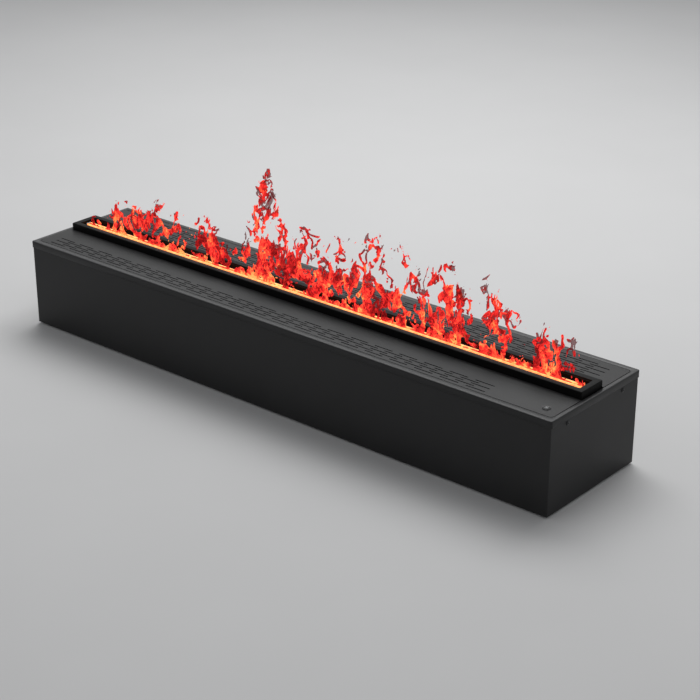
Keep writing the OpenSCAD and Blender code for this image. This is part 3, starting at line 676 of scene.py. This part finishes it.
# %% Vented cover rule
vent_tree, d, inp, out = new_rule("vented_cover", {
    "Half length": ("float", 0.591), "Outer edge": ("float", -0.112),
    "Inner edge": ("float", -0.0312), "Outer corner": ("float", 0.006),
    "Underside": ("float", 0.1685), "Thickness": ("float", 0.0015),
    "Slot length": ("float", 0.038), "Slot width": ("float", 0.0024),
    "Pitch": ("float", 0.052), "Row pitch": ("float", 0.0065),
    "First slot X": ("float", -0.548), "First row Y": ("float", -0.104),
    "Slots": ("int", 20), "Rows": ("int", 5), "Button hole": ("flag", False),
    "Hole X": ("float", 0.566), "Hole Y": ("float", -0.09), "Hole radius": ("float", 0.00585),
    "Finish": ("stuff", None)})

# %% [markdown]
# First comes the outline. Its four points are sums of the named sizes, and its two outer
# corners are rounded more than the two beside the burner.

# %% Outline of a cover
left = d.times(inp["Half length"], -1.0)
outline = d.add("GeometryNodeCurvePrimitiveQuadrilateral", mode="POINTS")
for label, x, y in (("Point 1", left, inp["Outer edge"]),
                    ("Point 2", inp["Half length"], inp["Outer edge"]),
                    ("Point 3", inp["Half length"], inp["Inner edge"]),
                    ("Point 4", left, inp["Inner edge"])):
    d.put(outline.inputs[label], d.join(x, y, 0.0))
outer = d.sum("LESS_THAN", d.add("GeometryNodeInputIndex").outputs[0], 1.5)
corner = d.plus(d.times(outer, inp["Outer corner"]), 0.0002)
edge_curve = d.add("GeometryNodeFilletCurve", {"Curve": outline.outputs[0], "Radius": corner,
                                               "Count": 8}, mode="POLY")

# %% [markdown]
# One slot is a small rectangle whose ends are rounded to half circles. A running number
# gives each copy its row and its place in the row, and the last of every odd row is left
# out, so that both ends of the pattern are even.

# %% Slots of a cover
slot_box = d.add("GeometryNodeCurvePrimitiveQuadrilateral",
                 {"Width": inp["Slot length"], "Height": inp["Slot width"]}, mode="RECTANGLE")
slot_curve = d.add("GeometryNodeFilletCurve", {
    "Curve": slot_box.outputs[0], "Count": 5,
    "Radius": d.times(inp["Slot width"], 0.499)}, mode="POLY")
step = d.add("GeometryNodeInputIndex").outputs[0]
row_no = d.sum("FLOOR", d.over(step, inp["Slots"]))
in_row = d.minus(step, d.times(row_no, inp["Slots"]))
odd = d.sum("MODULO", row_no, 2.0)
slot_x = d.plus(inp["First slot X"], d.times(d.plus(in_row, d.times(odd, 0.5)), inp["Pitch"]))
slot_y = d.plus(inp["First row Y"], d.times(row_no, inp["Row pitch"]))
marks = d.add("GeometryNodePoints", {
    "Count": d.times(inp["Slots"], inp["Rows"]),
    "Position": d.join(slot_x, slot_y, 0.0)})
last_of_odd = d.sum("GREATER_THAN", d.plus(in_row, odd), d.minus(inp["Slots"], 0.5))
punched = d.add("GeometryNodeInstanceOnPoints", {
    "Points": marks.outputs[0], "Instance": slot_curve.outputs[0],
    "Selection": d.minus(1.0, last_of_odd)})
hole = d.add("GeometryNodeCurvePrimitiveCircle", {"Resolution": 64,
                                                  "Radius": inp["Hole radius"]}, mode="RADIUS")
hole_there = d.add("GeometryNodeTransform", {
    "Geometry": hole.outputs[0], "Translation": d.join(inp["Hole X"], inp["Hole Y"], 0.0)})
maybe = d.add("GeometryNodeSwitch", {"Switch": inp["Button hole"],
                                     "True": hole_there.outputs[0]}, input_type="GEOMETRY")

# %% [markdown]
# The fill leaves a hole wherever a curve lies inside another. The extrusion lifts a copy
# of the sheet and makes the walls, and the flipped sheet closes the underside.

# %% Sheet with holes
drawn = d.add("GeometryNodeJoinGeometry")
for curve in (edge_curve, d.add("GeometryNodeRealizeInstances", {0: punched.outputs[0]}), maybe):
    d.put(drawn.inputs[0], curve.outputs[0])
sheet = d.add("GeometryNodeFillCurve", {"Curve": drawn.outputs[0]}, mode="TRIANGLES")
low = d.add("GeometryNodeTransform", {"Geometry": sheet.outputs[0],
                                      "Translation": d.join(0.0, 0.0, inp["Underside"])})
raised = d.add("GeometryNodeExtrudeMesh", {
    "Mesh": low.outputs[0], "Offset": (0.0, 0.0, 1.0), "Offset Scale": inp["Thickness"],
    "Individual": False}, mode="FACES")
under = d.add("GeometryNodeFlipFaces", {"Mesh": low.outputs[0]})
both = d.add("GeometryNodeJoinGeometry")
for half in (raised, under):
    d.put(both.inputs[0], half.outputs[0])
whole = d.add("GeometryNodeMergeByDistance", {"Geometry": both.outputs[0], "Distance": 2e-6})
close_rule(d, out, whole.outputs[0], inp["Finish"])
print("boxes in the cover rule:", len(vent_tree.nodes))

# %% Make the covers
cover_common = {"Finish": FINISHES["powder_black"]}
front_sheet = grow("front_cover_sheet", vent_tree, {**cover_common, "Button hole": True})
rear_sheet = grow("rear_cover_sheet", vent_tree, {
    **cover_common, "Outer edge": 0.112, "Inner edge": 0.0312, "First row Y": 0.050,
    "Row pitch": 0.007, "Slots": 22, "Rows": 8})
for cover, node in ((front_sheet, "front_cover"), (rear_sheet, "rear_cover")):
    cover.data.shade_smooth()
    lip = cover.modifiers.new("punched_edges", "BEVEL")
    lip.width, lip.segments = 0.00022, 1
    lip.limit_method, lip.angle_limit = "ANGLE", math.radians(60)
    lip.harden_normals = True
    register(cover, node)
    # Upright faces, the slot walls and the outer edges, get the deeper burner black: painted shade
    # in the punched slots.
    second_finish(cover, FINISHES["burner_black"], lambda face: abs(face.normal.z) < 0.5)

# %% [markdown]
# ## The lid ring
# The top frame is one sheet pressed into a ring: a flat lip, a fold of small radius over
# the edge of the box and a flange down the walls. Its section is drawn as rings of points
# with the fold as a quarter circle, which catches a thin line of light as the real fold
# does. Its upward faces get a lighter, glossier black than the covers, a painted highlight
# on the lip. The ledge that carries the covers is a set of flat strips below the lip.

# %% Lid ring
BODY_X, BODY_Y, BODY_TOP = 0.600, 0.125, 0.170
SHEET = 0.0015
OPEN_X, OPEN_Y = 0.592, 0.113
FOLD = 0.0016
FLANGE_FOOT = BODY_TOP - 0.0125


def folded_edge(x, y, r, top, radius, steps=5):
    """Quarter circle from a flat top down over an outer edge."""
    rings = []
    for i in range(steps + 1):
        a = math.pi / 2 * i / steps
        back = radius * (1 - math.sin(a))
        rings.append((x - back, y - back, r - back, top - radius * (1 - math.cos(a))))
    return rings


lid = [(OPEN_X, OPEN_Y, 0.007, BODY_TOP - 0.0003),
       (OPEN_X + 0.0003, OPEN_Y + 0.0003, 0.0073, BODY_TOP)]
lid += folded_edge(BODY_X, BODY_Y, 0.004, BODY_TOP, FOLD)
lid += [(BODY_X, BODY_Y, 0.004, FLANGE_FOOT + 0.0002),
        (BODY_X - 0.0002, BODY_Y - 0.0002, 0.0038, FLANGE_FOOT),
        (BODY_X - SHEET, BODY_Y - SHEET, 0.0025, FLANGE_FOOT),
        (BODY_X - SHEET, BODY_Y - SHEET, 0.0025, BODY_TOP - SHEET),
        (OPEN_X, OPEN_Y, 0.007, BODY_TOP - SHEET)]
ring = loft([rounded_loop(x, y, r, z, 8) for x, y, r, z in lid], closed=True)
LEDGE_LOW, LEDGE_TOP = 0.167, 0.1685
IN_X, IN_Y = 0.594, 0.119
strips = []
for s in (-1, 1):
    ya, yb = sorted((s * (OPEN_Y - 0.008), s * IN_Y))
    strips.append(slab((-IN_X, ya, LEDGE_LOW), (IN_X, yb, LEDGE_TOP)))
    for t in (-1, 1):
        xa, xb = sorted((t * (OPEN_X - 0.008), t * IN_X))
        y0, y1 = sorted((s * 0.0415, s * (OPEN_Y - 0.008)))
        strips.append(slab((xa, y0, LEDGE_LOW), (xb, y1, LEDGE_TOP)))
lid_ring = register(mesh_piece("lid_ring", *gather(ring, *strips), angle=50), "top_frame")
# Upward faces of the ring get a lighter, glossier black: a painted highlight on the lip.
finish("lip_highlight_black", "peel", 900, grey(0.027), 0.40, shine=0.4, swing=0.22,
       gloss_swing=0.05, bump=0.2, wear_and_highlight=0.45, wear_and_highlight_colour=grey(0.12), dust=0.08)
second_finish(lid_ring, FINISHES["lip_highlight_black"], lambda face: face.normal.z > 0.3)

# %% [markdown]
# ## The burner shell
# The burner stands up out of the deck as a second folded ring. Its rim turns in and then
# down into the trough, so it has two folds. Two foot flanges under the covers hold it.

# %% Burner shell
BURN_X, BURN_Y, BURN_TOP = 0.590, 0.030, 0.1825
TROUGH_X, TROUGH_Y = 0.578, 0.018
SKIRT = 0.174
shell = [(BURN_X, BURN_Y, 0.0022, LEDGE_LOW)]
shell += reversed(folded_edge(BURN_X, BURN_Y, 0.0022, BURN_TOP, 0.0016))
for i in range(6):
    a = math.pi / 2 * i / 5
    back = 0.0012 * (1 - math.sin(a))
    shell.append((TROUGH_X + back, TROUGH_Y + back, 0.0010 + back,
                  BURN_TOP - 0.0012 * (1 - math.cos(a))))
shell += [(TROUGH_X, TROUGH_Y, 0.001, SKIRT),
          (TROUGH_X + SHEET, TROUGH_Y + SHEET, 0.002, SKIRT),
          (TROUGH_X + SHEET, TROUGH_Y + SHEET, 0.002, BURN_TOP - SHEET),
          (BURN_X - SHEET, BURN_Y - SHEET, 0.0012, BURN_TOP - SHEET),
          (BURN_X - SHEET, BURN_Y - SHEET, 0.0012, LEDGE_LOW)]
wall = loft([rounded_loop(x, y, r, z, 5) for x, y, r, z in shell], closed=True)
feet = []
for s in (-1, 1):
    ya, yb = sorted((s * BURN_Y, s * (BURN_Y + 0.010)))
    feet.append(slab((-BURN_X, ya, LEDGE_LOW), (BURN_X, yb, LEDGE_TOP)))
register(mesh_piece("burner_shell", *gather(wall, *feet), angle=50), "burner_frame")

# %% [markdown]
# ## Walls, trough plates and light guides
# These keep their engineering shape. A weld and a bevel of a few tenths of a millimetre
# round their cut edges, as tumbling and paint do on the real sheets. Weighted normals
# then keep the big faces evenly flat beside those small rounds.

# %% Softened sheets and mouldings
for node, width in (("front_panel", 0.0005), ("rear_panel", 0.0004), ("left_panel", 0.0004),
                    ("right_panel", 0.0004), ("mist_plate_front", 0.0004),
                    ("mist_plate_rear", 0.0004), ("led_diffuser_front", 0.0006),
                    ("led_diffuser_rear", 0.0006), ("slot_end_caps", 0.0008),
                    ("water_tank", 0.0010), ("tank_lid", 0.0006), ("filler_cap", 0.0004),
                    ("mains_inlet", 0.0004), ("switch_rocker", 0.0007),
                    ("feed_pump", 0.0005), ("power_supply", 0.0004)):
    softened(node, node + "_soft", width)

# %% [markdown]
# ## Power button
# A gloss bezel ring with a rounded shoulder stands round a button whose face is dished
# for a fingertip. Both are turned from a profile. Only the middle of the button is bare
# metal, the rest is black like the ring. The bezel has a threaded neck below, and the
# button a stem that reaches the switch.

# %% Power button
BX, BY = 0.566, -0.090
bezel_profile = [(0.00505, 0.160), (0.0058, 0.160)]
for i in range(8):
    z = 0.1612 + i * 0.001
    bezel_profile += [(0.0058, z - 0.0003), (0.0055, z), (0.0058, z + 0.0003)]
bezel_profile += [(0.0058, 0.170), (0.0068, 0.170), (0.0070, 0.1702), (0.0070, 0.1706),
                  (0.0066, 0.1711), (0.0061, 0.1712), (0.0055, 0.1711), (0.00505, 0.1706)]
bezel_loops = turned(bezel_profile, (BX, BY))
bezel_ring = (bezel_loops[0], loft([bezel_loops[0][i * 64:(i + 1) * 64]
                                    for i in range(len(bezel_profile))], closed=True)[1])
register(mesh_piece("button_ring", *bezel_ring, angle=40), "button_bezel")
cap_profile = [(0.0014, 0.1595), (0.0015, 0.1597), (0.0015, 0.166), (0.0048, 0.166),
               (0.0050, 0.1662), (0.0050, 0.1711), (0.0048, 0.17145), (0.0044, 0.1716),
               (0.0038, 0.17155), (0.0024, 0.1713), (0.0010, 0.1712)]
cap = register(mesh_piece("button_cap", *turned(cap_profile, (BX, BY)), angle=40),
               "power_button")
second_finish(cap, FINISHES["bezel_black"],
              lambda face: math.hypot(face.center.x - BX, face.center.y - BY) > 0.0030)

# %% [markdown]
# The return spring sits on the bezel's shoulder, under the button's head. It is a wire
# swept round a helix whose ends lie flat.

# %% Return spring
COIL_R, WIRE_R, TURNS, SEAT, HEAD = 0.0026, 0.00028, 4.5, 0.1600, 0.1660
rings = []
for i in range(109):
    t = i / 108
    a = 2 * math.pi * TURNS * t
    climb = min(max((t - 0.14) / 0.72, 0.0), 1.0) * 0.94 + 0.06 * t
    zc = SEAT + 1.15 * WIRE_R + (HEAD - SEAT - 2.3 * WIRE_R) * climb
    rings.append([(BX + (COIL_R + WIRE_R * math.cos(b)) * math.cos(a),
                   BY + (COIL_R + WIRE_R * math.cos(b)) * math.sin(a),
                   zc + WIRE_R * math.sin(b)) for b in [math.pi * k / 5 for k in range(10)]])
coil = register(mesh_piece("button_coil", *loft(rings), angle=50), "button_spring")
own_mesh(coil)

# %% [markdown]
# ## Screws and feet
# The same part at four places is a job for a small rule: four points, mirrored about the
# middle, each with a copy of the part turned to face outwards. The screw is a low button
# head with a six-sided socket. The foot is a rubber disc with grip rings.

# %% Four of a kind
four_tree, d, inp, out = new_rule("four_of_a_kind", {
    "Part": ("part", None), "Half spacing X": ("float", 0.5), "Half spacing Y": ("float", 0.1),
    "Height": ("float", 0.0), "Finish": ("stuff", None)})
step = d.add("GeometryNodeInputIndex").outputs[0]
side = d.minus(d.times(d.sum("MODULO", step, 2.0), 2.0), 1.0)
end = d.minus(d.times(d.sum("FLOOR", d.over(step, 2.0)), 2.0), 1.0)
spots = d.add("GeometryNodePoints", {"Count": 4, "Position": d.join(
    d.times(side, inp["Half spacing X"]),
    d.times(end, inp["Half spacing Y"]), inp["Height"])})
turn_back = d.times(d.sum("LESS_THAN", side, 0.0), math.pi)
part_in = d.add("GeometryNodeObjectInfo", {"Object": inp["Part"]})
copies = d.add("GeometryNodeInstanceOnPoints", {
    "Points": spots.outputs[0], "Instance": part_in.outputs["Geometry"],
    "Rotation": d.join(0.0, 0.0, turn_back)})
close_rule(d, out, copies.outputs[0], inp["Finish"])
print("boxes in the rule for four of a kind:", len(four_tree.nodes))

# %% Screws and feet


def hex_ring(h, flat_r, steps=48):
    """Points on a hexagon, as many as on the turned head."""
    points = []
    for i in range(steps):
        a = 2 * math.pi * i / steps
        r = flat_r / math.cos((a + math.pi / 6) % (math.pi / 3) - math.pi / 6)
        points.append((h, r * math.cos(a), r * math.sin(a)))
    return points


head_profile = [(0.0019, -0.0065), (0.0020, -0.0063), (0.0020, 0.0), (0.0034, 0.0),
                (0.0038, 0.0003), (0.0037, 0.0008), (0.0031, 0.0013), (0.0022, 0.0016)]
head = [[(h, r * math.cos(2 * math.pi * i / 48), r * math.sin(2 * math.pi * i / 48))
         for i in range(48)] for r, h in head_profile]
head += [hex_ring(0.0016, 0.00135), hex_ring(0.0006, 0.00125)]
screw = mesh_piece("screw_pattern", *loft(head), angle=30)
foot_profile = [(0.0142, 0.0), (0.0150, 0.0005), (0.0150, 0.0026), (0.0147, 0.0030)]
grip = [(0.0030 + 0.0022 * k + dr, z) for k in range(5)
        for dr, z in ((0.0, 0.0), (0.0004, 0.0005), (0.0014, 0.0005), (0.0018, 0.0))]
foot = mesh_piece("foot_pattern", *turned(grip + foot_profile, steps=48), angle=30)
screws = grow("side_screw_set", four_tree, {
    "Part": screw, "Half spacing X": 0.598, "Half spacing Y": 0.078, "Height": 0.150,
    "Finish": FINISHES["black_screw"]})
feet = grow("foot_pad_set", four_tree, {
    "Part": foot, "Half spacing X": 0.560, "Half spacing Y": 0.095, "Height": 0.0,
    "Finish": FINISHES["soft_rubber"]})
register(screws, "side_screws")
register(feet, "foot_pads")
for pattern in (screw, foot):
    bpy.data.objects.remove(pattern)

# %% [markdown]
# ## The curtain of lit mist
# Mist rises through the slot, rolls over itself and tears into tongues, threads and loose
# puffs. Modelling that by hand would look stiff. Instead the whole curtain is one rule: a
# block of space is filled with a density, high at the slot and thinning towards a height
# that changes along the box, eaten away by noise that drifts more the higher it gets. The
# skin where the density passes a threshold becomes the mesh. The heights are a curve, so
# a tall plume left of the middle and lower tongues elsewhere are given one by one.

# %% Heights along the slot
HEIGHTS = (  # place along the box and height of the mist above the slot, millimetres
    (-600, 0), (-570, 3), (-552, 24), (-515, 44), (-490, 66), (-455, 74), (-420, 58),
    (-371, 96), (-330, 88), (-290, 70), (-263, 92), (-228, 80), (-195, 46), (-170, 48),
    (-156, 84), (-140, 124), (-124, 170), (-112, 206), (-103, 216), (-94, 204), (-80, 160),
    (-66, 130), (-52, 112), (-30, 118), (-6, 150), (20, 158), (50, 142), (80, 132),
    (110, 140), (145, 156), (175, 142), (205, 156), (240, 118), (275, 132), (320, 152),
    (348, 104), (386, 142), (415, 100), (442, 92), (470, 78), (507, 96), (530, 78),
    (552, 66), (564, 30), (572, 16), (579, 2), (600, 0))
ROOT = 0.1768
TALLEST = 0.216


def height_at(d, x):
    """Height of the mist at x, read from the curve."""
    curve = d.add("ShaderNodeFloatCurve", {"Value": d.over(d.plus(x, 0.6), 1.2)})
    line = curve.mapping.curves[0]
    for k, (mm, h) in enumerate(HEIGHTS):
        at = ((mm + 600) / 1200, h / (TALLEST * 1000))
        if k == 0:
            line.points[0].location = at
        elif k == len(HEIGHTS) - 1:
            line.points[len(line.points) - 1].location = at
        else:
            line.points.new(*at)
    curve.mapping.update()
    return d.times(curve.outputs[0], TALLEST)


print("heights set by hand:", len(HEIGHTS), "tallest", max(h for _, h in HEIGHTS), "mm")

# %% [markdown]
# A point in the block is pushed about by a slow swirl before anything is read there,
# and further the higher it lies. That bends every strand the way rising air does. The
# value called rise is how far up the local tongue the pushed point is.

# %% Where the mist drifts
mist_tree, d, inp, out = new_rule("mist_curtain", {
    "Start": ("float", -0.57), "End": ("float", 0.58), "Half depth": ("float", 0.020),
    "Top": ("float", 0.386), "Cell": ("float", 0.0014), "Sway": ("float", 0.024),
    "Stand off": ("float", 0.004), "Seed": ("float", 4.0), "Finish": ("stuff", None)})
here = d.add("GeometryNodeInputPosition").outputs[0]
lifted = d.minus(d.split(here)[2], ROOT)
seeded = d.vec("ADD", here, d.join(inp["Seed"], 0.0, d.times(inp["Seed"], 0.37)))
drift = d.swirl(seeded, 17.0, 2.0, 0.6)
push = d.vec("SUBTRACT", drift, (0.5, 0.5, 0.5))
reach = d.times(inp["Sway"], d.span(lifted, 0.0, 0.09, 0.25, 1.7))
pushed = d.add("ShaderNodeVectorMath", {0: push, "Scale": reach}, operation="SCALE").outputs[0]
mx, my, mz = d.split(d.vec("ADD", here, pushed))
height = d.sum("MAXIMUM", height_at(d, mx), 0.002)
rise = d.over(d.minus(mz, ROOT), height)
eddy = d.vec("ADD", seeded, pushed)

# %% [markdown]
# Three shapes are mixed: broad rolls, fine lace and loose puffs. Rolls and lace are the
# thin skins on which a noise has its middle value, which look like folded smoke. Puffs
# are the peaks of a finer noise, and there are fewer of them towards the tip.

# %% Rolls, lace and puffs


def strands(scale, squeeze, detail, width, thinning):
    """Thin curved skins: where a noise is close to its middle value."""
    field = d.noise(d.vec("MULTIPLY", eddy, squeeze), scale, detail, 0.55)
    half = d.times(width, d.span(rise, 0.0, 1.0, 1.0, thinning))
    off = d.sum("ABSOLUTE", d.minus(field, 0.5))
    return d.over(d.minus(half, off), width)


rolls = strands(24.0, (1.0, 0.12, 0.62), 2.0, 0.050, 0.60)
lace = strands(48.0, (1.0, 0.12, 0.50), 2.0, 0.050, 0.70)
puffs = d.noise(d.vec("MULTIPLY", eddy, (1.0, 0.3, 0.42)), 60.0, 4.0, 0.62)
full = d.span(height, 0.13, 0.20, 0.0, 0.075)
blobs = d.over(d.minus(puffs, d.minus(d.span(rise, 0.0, 0.8, 0.545, 0.65), full)), 0.07)

# %% [markdown]
# The mist isn't even along the slot. Gaps part it into tongues, arches open it just above
# the lamps, and a band along the root ties the tongues to the slot.

# %% Gaps, arches and the root
gaps = d.noise(d.vec("MULTIPLY", eddy, (1.0, 0.3, 0.8)), 21.0, 2.0, 0.5)
thin = d.times(d.span(gaps, 0.53, 0.43), d.span(rise, 0.04, 0.45, 0.3, 1.7))
thin = d.times(thin, d.span(height, 0.16, 0.20, 1.0, 0.45))
density = d.sum("MAXIMUM", d.sum("MAXIMUM", rolls, lace), blobs)
rooted = d.plus(d.span(lifted, 0.0, 0.020, 0.5, -1.5), d.span(puffs, 0.3, 0.7, -1.6, 1.6))
hollow = d.noise(d.vec("MULTIPLY", eddy, (0.8, 0.5, 1.1)), 31.0, 1.0, 0.5)
arch = d.times(d.span(lifted, 0.0005, 0.003), d.span(lifted, 0.034, 0.018))
density = d.sum("MAXIMUM", density, rooted)
density = d.minus(density, d.times(arch, d.span(hollow, 0.48, 0.58, 0.0, 1.5)))
density = d.minus(density, thin)
density = d.minus(density, d.span(rise, 0.35, 1.05, 0.0, 0.30))

# %% [markdown]
# From the side the mist is a thin veil that waves about, so the density falls away on
# both sides of a folded middle line. It also stops above the height curve.

# %% A thin folded veil
fold = d.noise(d.vec("MULTIPLY", seeded, (1.0, 0.0, 0.8)), 16.0, 1.0, 0.5)
bend = d.times(d.minus(fold, 0.5), d.span(lifted, 0.0, 0.08, 0.004, 0.050))
bend = d.plus(bend, d.times(inp["Stand off"], d.span(lifted, 0.0, 0.030)))
across = d.over(d.minus(my, bend), d.span(lifted, 0.0, 0.03, 0.0020, 0.0030))
density = d.minus(density, d.times(d.times(across, across), 0.45))
density = d.minus(density, d.span(rise, 0.95, 1.15, 0.0, 1.6))

# %% [markdown]
# The density is read on a grid of small cells, and a skin is drawn where it crosses the
# threshold. Smaller cells give finer threads and far more faces. The skin remembers how
# far up its tongue each point is, for the colour.

# %% From density to skin
length = d.minus(inp["End"], inp["Start"])
block = d.add("GeometryNodeVolumeCube", {
    "Density": density,
    "Min": d.join(inp["Start"], d.times(inp["Half depth"], -1.0), ROOT),
    "Max": d.join(inp["End"], inp["Half depth"], inp["Top"]),
    "Resolution X": d.over(length, inp["Cell"]),
    "Resolution Y": d.over(d.times(inp["Half depth"], 2.0), inp["Cell"]),
    "Resolution Z": d.over(d.minus(inp["Top"], ROOT), inp["Cell"])})
skin = d.add("GeometryNodeVolumeToMesh", {"Volume": block.outputs[0], "Threshold": 0.1,
                                          "Adaptivity": 0.12}, resolution_mode="GRID")
tagged = d.add("GeometryNodeStoreNamedAttribute", {
    "Geometry": skin.outputs[0], "Name": "rise", "Value": rise}, data_type="FLOAT",
    domain="POINT")
close_rule(d, out, tagged.outputs[0], inp["Finish"])
print("boxes in the mist rule:", len(mist_tree.nodes))

# %% [markdown]
# The mist is grown as two veils that lean apart, one over each half of the slot, each in
# three lengths, so that no piece holds too many faces. Light that bounces off the metal
# passes them by, because so many small bright faces would cover the metal with specks.

# %% Grow the mist in three lengths and two veils
LENGTHS = (("left", -0.570, -0.190), ("middle", -0.190, 0.180), ("right", 0.180, 0.580))
for veil_name, stand_off, seed in (("front", -0.005, 4.0), ("rear", 0.005, 9.0)):
    for name, start, stop in LENGTHS:
        curtain = grow(f"mist_{name}_{veil_name}", mist_tree, {
            "Start": start, "End": stop, "Stand off": stand_off, "Seed": seed,
            "Finish": FINISHES["lit_mist"]})
        curtain.data.shade_smooth()
        curtain.visible_diffuse = curtain.visible_glossy = False
        register(curtain, "flame_mist")

# %% [markdown]
# Loose bright droplets drift above the tongues. A rule scatters small stretched grains at
# random places under the same height curve, with a fixed seed.

# %% Sparks
spark_tree, d, inp, out = new_rule("loose_droplets", {
    "Count": ("int", 110), "Largest": ("float", 0.0011), "Seed": ("int", 7),
    "Finish": ("stuff", None)})


def chance(low, high, step, kind="FLOAT"):
    box = d.add("FunctionNodeRandomValue", data_type=kind)
    names = {"FLOAT": (2, 3), "FLOAT_VECTOR": (0, 1)}[kind]
    d.put(box.inputs[names[0]], low)
    d.put(box.inputs[names[1]], high)
    d.put(box.inputs["Seed"], d.plus(inp["Seed"], float(step)))
    return box.outputs[1 if kind == "FLOAT" else 0]


sx = chance(-0.52, 0.56, 1)
sz = d.plus(ROOT + 0.004, d.times(height_at(d, sx), chance(0.45, 0.93, 2)))
cloud = d.add("GeometryNodePoints", {"Count": inp["Count"],
                                     "Position": d.join(sx, chance(-0.011, 0.011, 3), sz)})
grain = d.add("GeometryNodeMeshIcoSphere", {"Radius": inp["Largest"], "Subdivisions": 2})
long_grain = d.add("GeometryNodeTransform", {"Geometry": grain.outputs[0],
                                             "Scale": (0.55, 0.55, 1.9)})
drops = d.add("GeometryNodeInstanceOnPoints", {
    "Points": cloud.outputs[0], "Instance": long_grain.outputs[0],
    "Rotation": chance((-0.9, -0.9, 0.0), (0.9, 0.9, 3.0), 5, "FLOAT_VECTOR"),
    "Scale": chance(0.35, 1.0, 4)})
close_rule(d, out, drops.outputs[0], inp["Finish"])
droplets = grow("mist_droplets", spark_tree, {"Finish": FINISHES["lit_mist"]})
droplets.visible_diffuse = droplets.visible_glossy = False
register(droplets, "flame_mist")

# %% [markdown]
# ## Glow on the metal round the slot
# The mist and the lamps light the trough and the rim from close by. Two long narrow lamps
# that the camera can't see do this cleanly, with far less noise than a bright surface
# made of many small faces.

# %% Glow
GLOW_SIZE, GLOW_POWER, GLOW_COLOUR = (1.12, 0.003), 0.05, (1.0, 0.13, 0.045)
for side_name, s in (("front", -1), ("rear", 1)):
    strip = soft_lamp("slot_glow_" + side_name, (0.0, s * 0.006, 0.1840),
                      (0.0, s * 0.028, 0.1825), GLOW_SIZE, GLOW_POWER, GLOW_COLOUR)
    strip.visible_camera = False
print("glow strips of", GLOW_POWER, "W each")

# %% [markdown]
# ## Floor
# A plain pale floor, big enough to reach the horizon in every view, with the faint mottle
# of a painted surface.

# %% Floor
floor_mesh = bpy.data.meshes.new("studio_floor")
floor_mesh.from_pydata([(-20, -20, 0), (20, -20, 0), (20, 20, 0), (-20, 20, 0)], [], [(0, 1, 2, 3)])
studio_floor = link(bpy.data.objects.new("studio_floor", floor_mesh))
floor_paint = bpy.data.materials.new("pale_floor")
floor_paint.use_nodes = True
d = Desk(floor_paint.node_tree)
mottle = d.noise(d.add("ShaderNodeTexCoord").outputs["Object"], 3.0, 3.0, 0.5)
shader = floor_paint.node_tree.nodes["Principled BSDF"]
d.put(shader.inputs["Base Color"], d.blend(mottle, (0.60, 0.60, 0.60, 1), (0.64, 0.64, 0.64, 1)))
shader.inputs["Roughness"].default_value = 0.75
floor_mesh.materials.append(floor_paint)
print("floor:", studio_floor.dimensions.x, "m wide")
